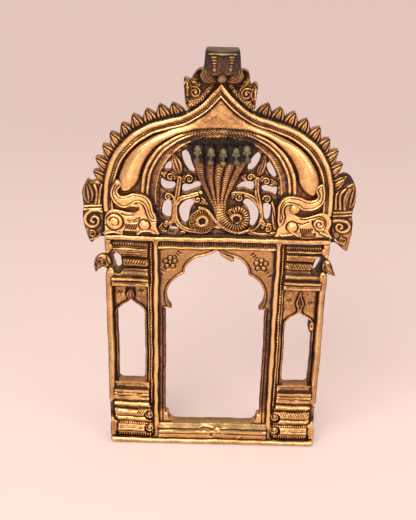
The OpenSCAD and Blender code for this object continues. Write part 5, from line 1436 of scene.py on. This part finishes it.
def settle_patina_and_shade():
    """Gives each vertex its patina, with painted shade and painted highlight, and its verdigris.

    The front-most y of all pieces is laid on a map over X and Z and blurred. What lies behind the blurred
    face is hollow and takes patina and painted shade, what stands before it is rubbed bright, and faces
    turned up take a painted highlight."""
    cell, low, shape, empty = 0.8, np.array([-100.0, -4.0]), (252, 390), 1e3
    pieces = [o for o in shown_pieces() if "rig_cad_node" not in o]
    found = []
    for o in pieces:
        co, normal = np.zeros((2, len(o.data.vertices) * 3), np.float32)
        o.data.vertices.foreach_get("co", co)
        o.data.vertices.foreach_get("normal", normal)
        found.append((o, co.reshape(-1, 3) / MM, normal.reshape(-1, 3)))
    face = np.full(shape, empty)
    for _, co, _ in found:
        i = np.clip(((co[:, [0, 2]] - low) / cell).astype(int), 0, np.array(shape) - 1)
        np.minimum.at(face, (i[:, 0], i[:, 1]), co[:, 1])
    there = (face < empty).astype(float)
    grid = [np.fft.fftfreq(n, cell) for n in shape]
    square = grid[0][:, None] ** 2 + grid[1][None, :shape[1] // 2 + 1] ** 2
    maps = []
    for sigma in (1.0, 2.6, 8.0):
        soft = np.exp(-2 * (np.pi * sigma) ** 2 * square)
        top, under = [np.fft.irfft2(np.fft.rfft2(m) * soft, shape) for m in (face * there, there)]
        maps.append(top / np.maximum(under, 0.02))
    for o, co, normal in found:
        x, y, z = co.T
        ax, behind, up = np.abs(x), normal[:, 1], normal[:, 2]
        u = np.clip((co[:, [0, 2]] - low) / cell - 0.5, 0, np.array(shape) - 1.001)
        fine, mid, broad = [y - sampled(m, u) for m in maps]
        # Hollows take real patina, and the same term paints shade into recesses and the gaps between parts.
        hollow = 1 - (1 - 0.6 * smooth(0.3, 2.6, mid)) * (1 - 0.45 * smooth(1.2, 6.0, broad))
        rubbed_and_unshaded = (1 - 0.85 * smooth(0.0, 0.6, fine)) * (1 - hollow) * (0.72 + 0.28 * smooth(0.0, 0.6, -fine))
        # Faces turned up shed most of their patina: a painted highlight on their tops.
        patina = (1 - rubbed_and_unshaded) * (1 - 0.72 * smooth(0.3, 0.7, up))
        patina += next((v for k, v in DARKER_BY_PIECE.items() if k in o.name), 0.0)
        # The jambs are dull, but the stepped foot is rubbed.
        if o.name == "portal_panel_cast":
            patina += 0.16 * smooth(120, 116, z) - 0.4 * smooth(30, 25, z)
        if "niche" in o.name:
            patina += 0.12 * smooth(112, 118, z)
        # The roll has painted shade on its sides toward the rims, and its flat crown is dull and cloudy.
        if o.name == "arch_roll_cast":
            patina += 0.35 * smooth(-7.4, -4.2, y) * smooth(34, 46, ax)
            crown = smooth(250, 256, z) * smooth(34, 22, ax)
            patina += (0.28 + 0.12 * wobble(x, 2 * z, 0.35)) * crown
        if o.name == "arch_inner_rim_cast":
            patina += 0.06 * smooth(30, 22, ax) + 0.12 * smooth(-4.9, -4.4, y)
        # The right wing has painted shade behind the lowest petal.
        if o.name == "right_wing_scroll_cast":
            patina += 0.5 * smooth(212.5, 215.5, z)
        # The hood darkens beside its middle rib, and it and the sheet over it carry painted shade under and
        # behind the heads.
        if o.name == "naga_hood_cast":
            patina += 0.2 * smooth(3, 9, np.abs(x - 1.4)) + 0.8 * smooth(233, 236, z)
        # Rear faces and all that lies behind the front are plain brown.
        rear = smooth(0.45, 0.7, behind) * smooth(0.6, 0.3, up)
        if not ("vine" in o.name or "capital" in o.name):
            flank = smooth(-8, -5, y) if "mask" in o.name else smooth(-1.5, 2, y)
            rear = np.maximum(rear, flank)
        patina = patina * (1 - rear) + 0.46 * rear
        # Verdigris: on the heads, and on what faces up on the mask, on the lintel and in the capitals.
        green = np.zeros(len(co))
        if o.name == "naga_heads_cast":
            # The heads take more patina, and painted shade in the gap between crown and snout and toward
            # their backs.
            patina += 0.28 + 0.6 * bell(z, 234.4, 1.2) + 0.5 * smooth(-15.5, -13, y)
            green += (0.55 + 0.3 * smooth(0.2, 0.9, up)) * (0.7 + 0.3 * smooth(234, 237, z))
        if o.name == "lion_mask_cast":
            green += 0.04 + 0.55 * smooth(0.35, 0.8, up)
        if o.name == "lintel_beam_cast":
            green += 0.45 * smooth(0.3, 0.8, up) * smooth(-8.0, -6.0, y)
        if "capital" in o.name:
            green += 0.2 * smooth(0.3, 0.6, patina) * smooth(141, 143, z) * smooth(150, 146, z)
        for name, values in (("patina", patina), ("verdigris", green)):
            layer = o.data.attributes.new(name, "FLOAT", "POINT")
            layer.data.foreach_set("value", np.clip(values, 0, 1).astype(np.float32))


def add(tree, kind, links=(), settings=(), **sockets):
    """Adds a shader node: links are its inputs from other nodes, settings its properties, sockets its values.

    A socket is named by its number: _2=70 sets input 2."""
    node = tree.nodes.new(kind)
    for key, value in dict(settings).items():
        setattr(node, key, value)
    for key, value in sockets.items():
        node.inputs[int(key[1:])].default_value = value
    for at, output in dict(links).items():
        tree.links.new(output, node.inputs[at])
    return node


def maths(tree, operation, links, **sockets):
    """Adds a math node and gives its result."""
    return add(tree, "ShaderNodeMath", links, {"operation": operation}, **sockets).outputs[0]


def brass(name, worn, bloom, marked=True, rough=(0.25, 0.6)):
    """A cast brass: patina with painted shade and highlight from the piece's attribute, broken up by clouds
    and grain, over a metal base.

    worn takes tarnish off, bloom spreads the verdigris, and rough is the roughness of clean and of dark
    metal."""
    finish = bpy.context.scene.prabhavali_finish
    mat = bpy.data.materials.new(name)
    mat.use_nodes = True
    tree = mat.node_tree
    shader = tree.nodes["Principled BSDF"]
    place = add(tree, "ShaderNodeTexCoord").outputs["Object"]
    # 14 mm clouds give the uneven tarnish, and 1.4 mm grain the specks and the cast skin.
    cloud = add(tree, "ShaderNodeTexNoise", {"Vector": place}, _2=70.0, _3=3.0, _4=0.6).outputs[0]
    grain = add(tree, "ShaderNodeTexNoise", {"Vector": place}, _2=700.0, _3=3.0, _4=0.6).outputs[0]
    if marked:
        patina = add(tree, "ShaderNodeAttribute", settings={"attribute_name": "patina"}).outputs["Fac"]
        green = add(tree, "ShaderNodeAttribute", settings={"attribute_name": "verdigris"}).outputs["Fac"]
    else:
        # The bare plate has painted shade in front, between the ornaments, so it is darker there than at its
        # back.
        across = add(tree, "ShaderNodeSeparateXYZ", {0: place}).outputs["Y"]
        patina = add(tree, "ShaderNodeMapRange", {0: across}, _1=-0.001, _2=0.002, _3=0.68, _4=0.5).outputs[0]
        green = add(tree, "ShaderNodeValue").outputs[0]
        green.default_value = 0.05
    # Tarnish with its painted shade and highlight is the attribute less the wear, moved up and down by the
    # clouds and the grain.
    spots = maths(tree, "MULTIPLY_ADD", {0: cloud}, _1=0.55, _2=-0.55 - worn)
    specks = maths(tree, "MULTIPLY_ADD", {0: grain, 2: spots}, _1=0.55)
    tarnish_and_shade = maths(tree, "ADD", {0: patina, 1: specks})
    ramp = add(tree, "ShaderNodeValToRGB", {"Fac": tarnish_and_shade})
    # The dark stops give patina and painted shade in recesses, and the bright stop gives rubbed ridges and
    # the painted highlight on faces turned up.
    stops = ((0.06, finish.bright), (0.3, finish.gold), (0.66, finish.brown), (1.0, finish.black))
    for k, (at, tone) in enumerate(stops):
        stop = ramp.color_ramp.elements[k] if k < 2 else ramp.color_ramp.elements.new(at)
        stop.position, stop.color = at, tone
    dots = maths(tree, "MULTIPLY_ADD", {0: grain}, _1=1.1, _2=bloom)
    bloomed = maths(tree, "MULTIPLY", {0: green, 1: dots})
    mixed = add(tree, "ShaderNodeMix", {0: bloomed, 6: ramp.outputs[0]}, {"data_type": "RGBA"},
                _7=finish.green)
    tree.links.new(mixed.outputs[2], shader.inputs["Base Color"])
    bare = add(tree, "ShaderNodeMapRange", {0: tarnish_and_shade}, _1=0.45, _2=1.0, _3=1.0, _4=0.35).outputs[0]
    metal = maths(tree, "MULTIPLY_ADD", {0: bloomed, 2: bare}, _1=-0.7)
    tree.links.new(metal, shader.inputs["Metallic"])
    matt = add(tree, "ShaderNodeMapRange", {0: tarnish_and_shade}, _1=0.1, _2=0.9, _3=rough[0], _4=rough[1]).outputs[0]
    tree.links.new(matt, shader.inputs["Roughness"])
    relief = add(tree, "ShaderNodeBump", {"Height": grain}, _0=0.3, _1=0.0004)
    tree.links.new(relief.outputs[0], shader.inputs["Normal"])
    return mat


# Operators

class PRABHAVALI_OT_bars(bpy.types.Operator):
    """Builds the base bar, the lintel and the four posts"""

    bl_idname = "prabhavali.bars"
    bl_label = "Frame bars"

    def execute(self, context):
        f = sizes("frame")
        for node, half, low, high, r in (("base_bar", f.base_half, 0, f.base_h, 2.2),
                                         ("lintel_beam", f.beam_half, f.post_top, f.beam_top, 1.3)):
            cast(node, bar((-f.half_w, -half, low), (f.half_w, half, high), 0, r), "frame_brass")
        for side in (-1, 1):
            cast(named(side, "inner_post"), inner_post(side), "frame_brass")
            cast(named(side, "outer_post"), outer_post(side), "frame_brass")
        return {"FINISHED"}


class PRABHAVALI_OT_portal(bpy.types.Operator):
    """Builds the portal's panel, its sill and the dentil strip"""

    bl_idname = "prabhavali.portal"
    bl_label = "Portal"

    def execute(self, context):
        cast("portal_panel", portal_panel())
        cast("sill_moulding", sill())
        cast("frieze_strip", frieze())
        return {"FINISHED"}


class PRABHAVALI_OT_piers(bpy.types.Operator):
    """Builds the side bays: bead strips, niche panels, base and capital mouldings"""

    bl_idname = "prabhavali.piers"
    bl_label = "Side bays"

    def execute(self, context):
        for side, spring, bud in ((-1, 111.3, 6.5), (1, 104.0, 13.5)):
            cast(named(side, "bead_strip"), bead_strip(side))
            cast(named(side, "niche_panel"), niche_panel(side, spring, bud))
            cast(named(side, "base_moulding"), base_moulding(side))
            cast(named(side, "capital_moulding"), capital_moulding(side))
        return {"FINISHED"}


class PRABHAVALI_OT_birds(bpy.types.Operator):
    """Builds the two bird brackets"""

    bl_idname = "prabhavali.birds"
    bl_label = "Bird brackets"

    def execute(self, context):
        rim = [(-4.4, 1.2), (-3.4, 7.6), (0.6, 11.6), (4.8, 11), (7.6, 8), (8.6, 3), (7.8, -2.9), (5.4, -0.2),
               (2.4, 1.6), (-0.6, 0.5)]
        lines = [[(5, 6.4), (6.6, 3), (7.4, -1.6)], [(3.4, 9.4), (6.2, 7.4), (7.8, 2.6)],
                 [(-3, 3), (-1.4, 5.6), (-0.6, 9.6)]]
        cast("left_bird_bracket", bird(-1, np.array(rim), [2.6, 5.8], lines))
        rim = [(-4.4, 1.4), (-4.4, 6.4), (-2, 10.6), (1, 10), (3, 6.4), (4.6, 2), (6.2, -2), (2.2, -0.6),
               (-1.2, 0.4)]
        lines = [[(1.6, 2.2), (3.6, 0.4), (5.4, -1.4)], [(-4, 2.4), (-2.6, 5), (-2.2, 9)],
                 [(2.2, 5.8), (3.6, 2.8), (4.8, 0)]]
        cast("right_bird_bracket", bird(1, np.array(rim), [0.2, 5.0], lines))
        return {"FINISHED"}


class PRABHAVALI_OT_arch(bpy.types.Operator):
    """Builds the arch's rims, its swelling roll and its petals"""

    bl_idname = "prabhavali.arch"
    bl_label = "Arch"

    def execute(self, context):
        cast("arch_outer_rim", outer_rim())
        cast("arch_inner_rim", inner_rim())
        cast("arch_roll", roll())
        for side in (-1, 1):
            cast(named(side, "petal_row"), petals(side))
        return {"FINISHED"}


class PRABHAVALI_OT_flanks(bpy.types.Operator):
    """Builds the wings, the yalis and the vine tracery"""

    bl_idname = "prabhavali.flanks"
    bl_label = "Wings, yalis and vines"

    def execute(self, context):
        for side in (-1, 1):
            cast(named(side, "wing_scroll"), wing(side))
            cast(named(side, "yali"), yali(side))
            cast(named(side, "vine"), vine(side))
        return {"FINISHED"}


class PRABHAVALI_OT_naga(bpy.types.Operator):
    """Builds the naga's hood, coils and heads"""

    bl_idname = "prabhavali.naga"
    bl_label = "Naga"

    def execute(self, context):
        cast("naga_hood", naga_hood())
        cast("naga_coils", naga_coils())
        cast("naga_heads", naga_heads(), "verdigris_brass")
        return {"FINISHED"}


class PRABHAVALI_OT_crest(bpy.types.Operator):
    """Builds the crest leaves and the lion mask"""

    bl_idname = "prabhavali.crest"
    bl_label = "Crest"

    def execute(self, context):
        for side in (-1, 1):
            cast(named(side, "crest_leaf"), crest_leaf(side))
        cast("lion_mask", lion_mask(), "verdigris_brass")
        return {"FINISHED"}


class PRABHAVALI_OT_finish(bpy.types.Operator):
    """Settles the patina with its painted shade and highlight, and gives every piece its brass"""

    bl_idname = "prabhavali.finish"
    bl_label = "Finish"

    def execute(self, context):
        settle_patina_and_shade()
        # Rubbed bars glow, cast ornament is gold on its ridges, and heads and mask have a green bloom.
        looks = {"frame_brass": brass("Rubbed brass bars", 0.04, 0.35),
                 "aged_brass": brass("Aged cast brass", 0.0, 0.35),
                 "verdigris_brass": brass("Verdigris cast brass", -0.06, 0.15, rough=(0.36, 0.66)),
                 "plain_brass": brass("Brown unpolished brass", 0.0, 0.3, marked=False)}
        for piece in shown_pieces():
            piece.data.materials.clear()
            piece.data.materials.append(looks[piece.get("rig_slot", "plain_brass")])
        return {"FINISHED"}


class PRABHAVALI_OT_stage(bpy.types.Operator):
    """Sets up the floor, the camera and the studio light"""

    bl_idname = "prabhavali.stage"
    bl_label = "Studio"

    def execute(self, context):
        scene, s, tones = context.scene, context.scene.prabhavali_stage, context.scene.prabhavali_finish
        # A flat floor, a cove and an upright wall, in metres.
        flat, cove, wall = 1.0, 1.6, 2.2
        bend = np.linspace(0, np.pi / 2, 24)[1:]
        r = np.concatenate([np.linspace(0.02, flat, 20), flat + cove * np.sin(bend), [flat + cove]])[:, None]
        z = np.concatenate([np.zeros(20), cove - cove * np.cos(bend), [wall]])[:, None]
        turn = np.linspace(0, 2 * np.pi, 72, endpoint=False)[None]
        verts = np.stack(np.broadcast_arrays(r * np.cos(turn), r * np.sin(turn), z - 0.0002), -1)
        ids = np.arange(verts[..., 0].size).reshape(verts.shape[:2])
        after = np.roll(ids, -1, axis=1)
        faces = np.stack([ids[:-1], ids[1:], after[1:], after[:-1]], -1).reshape(-1, 4).tolist()
        faces.append(ids[0].tolist())
        mesh = bpy.data.meshes.new("studio_bowl")
        mesh.from_pydata(verts.reshape(-1, 3).tolist(), [], faces)
        mesh.polygons.foreach_set("use_smooth", np.ones(len(faces), bool))
        paper = bpy.data.materials.new("Pale paper")
        paper.use_nodes = True
        tree = paper.node_tree
        shader = tree.nodes["Principled BSDF"]
        shader.inputs["Base Color"].default_value = tones.floor
        shader.inputs["Roughness"].default_value = 0.9
        # The paper also shows its own colour to the eye and in the metal, so it is pale from every side.
        rays = add(tree, "ShaderNodeLightPath").outputs
        seen_rays = maths(tree, "ADD", {0: rays["Is Camera Ray"], 1: rays["Is Glossy Ray"]})
        shown = add(tree, "ShaderNodeMath", {0: seen_rays, 1: rays["Is Transmission Ray"]},
                    {"operation": "ADD", "use_clamp": True}).outputs[0]
        tree.links.new(maths(tree, "MULTIPLY", {0: shown}, _1=0.28), shader.inputs["Emission Strength"])
        shader.inputs["Emission Color"].default_value = tones.floor
        mesh.materials.append(paper)
        bowl = bpy.data.objects.new("studio_bowl", mesh)
        scene.collection.objects.link(bowl)
        bowl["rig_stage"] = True

        data = bpy.data.cameras.new("camera")
        data.lens, data.sensor_width, data.sensor_fit = s.lens, 36.0, "AUTO"
        data.clip_start, data.clip_end = 0.01, 20
        camera = bpy.data.objects.new("camera", data)
        eye = Matrix.Translation((s.eye_x, s.eye_y, s.eye_z))
        look = Matrix.Rotation(math.pi / 2 - s.pitch, 4, "X")
        camera.matrix_world = eye @ look @ Matrix.Rotation(s.roll, 4, "Z")
        scene.collection.objects.link(camera)
        scene.camera = camera

        middle = Vector((0, 0, 0.15))
        lamps = (("key", (-0.5, -0.9, 1.1), 0.9, s.key), ("fill_right", (0.9, -0.8, 0.6), 0.8, s.fill),
                 ("fill_front", (0.0, -1.3, 0.35), 0.7, s.fill))
        for name, place, size, power in lamps:
            lamp = bpy.data.lights.new(name, "AREA")
            lamp.energy, lamp.size = power, size
            lamp.color = (1.0, 0.97, 0.93)
            thing = bpy.data.objects.new(name, lamp)
            thing.location = place
            thing.rotation_mode = "QUATERNION"
            thing.rotation_quaternion = (middle - Vector(place)).to_track_quat("-Z", "Y")
            scene.collection.objects.link(thing)
        world = bpy.data.worlds.new("studio")
        world.use_nodes = True
        world.node_tree.nodes["Background"].inputs[0].default_value = rgb("#E8E0DA")
        world.node_tree.nodes["Background"].inputs[1].default_value = 0.55
        scene.world = world
        scene.view_settings.view_transform = "Standard"
        return {"FINISHED"}


class PRABHAVALI_PT_panel(bpy.types.Panel):
    """Lists the steps that build the prabhavali"""

    bl_idname = "PRABHAVALI_PT_panel"
    bl_label = "Prabhavali"
    bl_space_type = "VIEW_3D"
    bl_region_type = "UI"
    bl_category = "Prabhavali"

    def draw(self, context):
        for step in STEPS:
            self.layout.operator(step.bl_idname)


GROUPS = {"frame": PRABHAVALI_PG_frame, "arch": PRABHAVALI_PG_arch, "finish": PRABHAVALI_PG_finish,
          "stage": PRABHAVALI_PG_stage}
STEPS = (PRABHAVALI_OT_bars, PRABHAVALI_OT_portal, PRABHAVALI_OT_piers, PRABHAVALI_OT_birds,
         PRABHAVALI_OT_arch, PRABHAVALI_OT_flanks, PRABHAVALI_OT_naga, PRABHAVALI_OT_crest,
         PRABHAVALI_OT_finish, PRABHAVALI_OT_stage)


def register():
    """Registers the groups, the operators and the panel."""
    for name, group in GROUPS.items():
        bpy.utils.register_class(group)
        setattr(bpy.types.Scene, "prabhavali_" + name, bpy.props.PointerProperty(type=group))
    for step in STEPS + (PRABHAVALI_PT_panel,):
        bpy.utils.register_class(step)


def unregister():
    """Takes back what register() did."""
    for step in (PRABHAVALI_PT_panel,) + STEPS[::-1]:
        bpy.utils.unregister_class(step)
    for name, group in GROUPS.items():
        delattr(bpy.types.Scene, "prabhavali_" + name)
        bpy.utils.unregister_class(group)


def main():
    """Builds the visual model step by step."""
    register()
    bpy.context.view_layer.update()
    ops = bpy.ops.prabhavali
    for step in (ops.bars, ops.portal, ops.piers, ops.birds, ops.arch,
                 ops.flanks, ops.naga, ops.crest, ops.finish, ops.stage):
        step()
    bpy.context.view_layer.update()


if __name__ == "__main__":
    main()
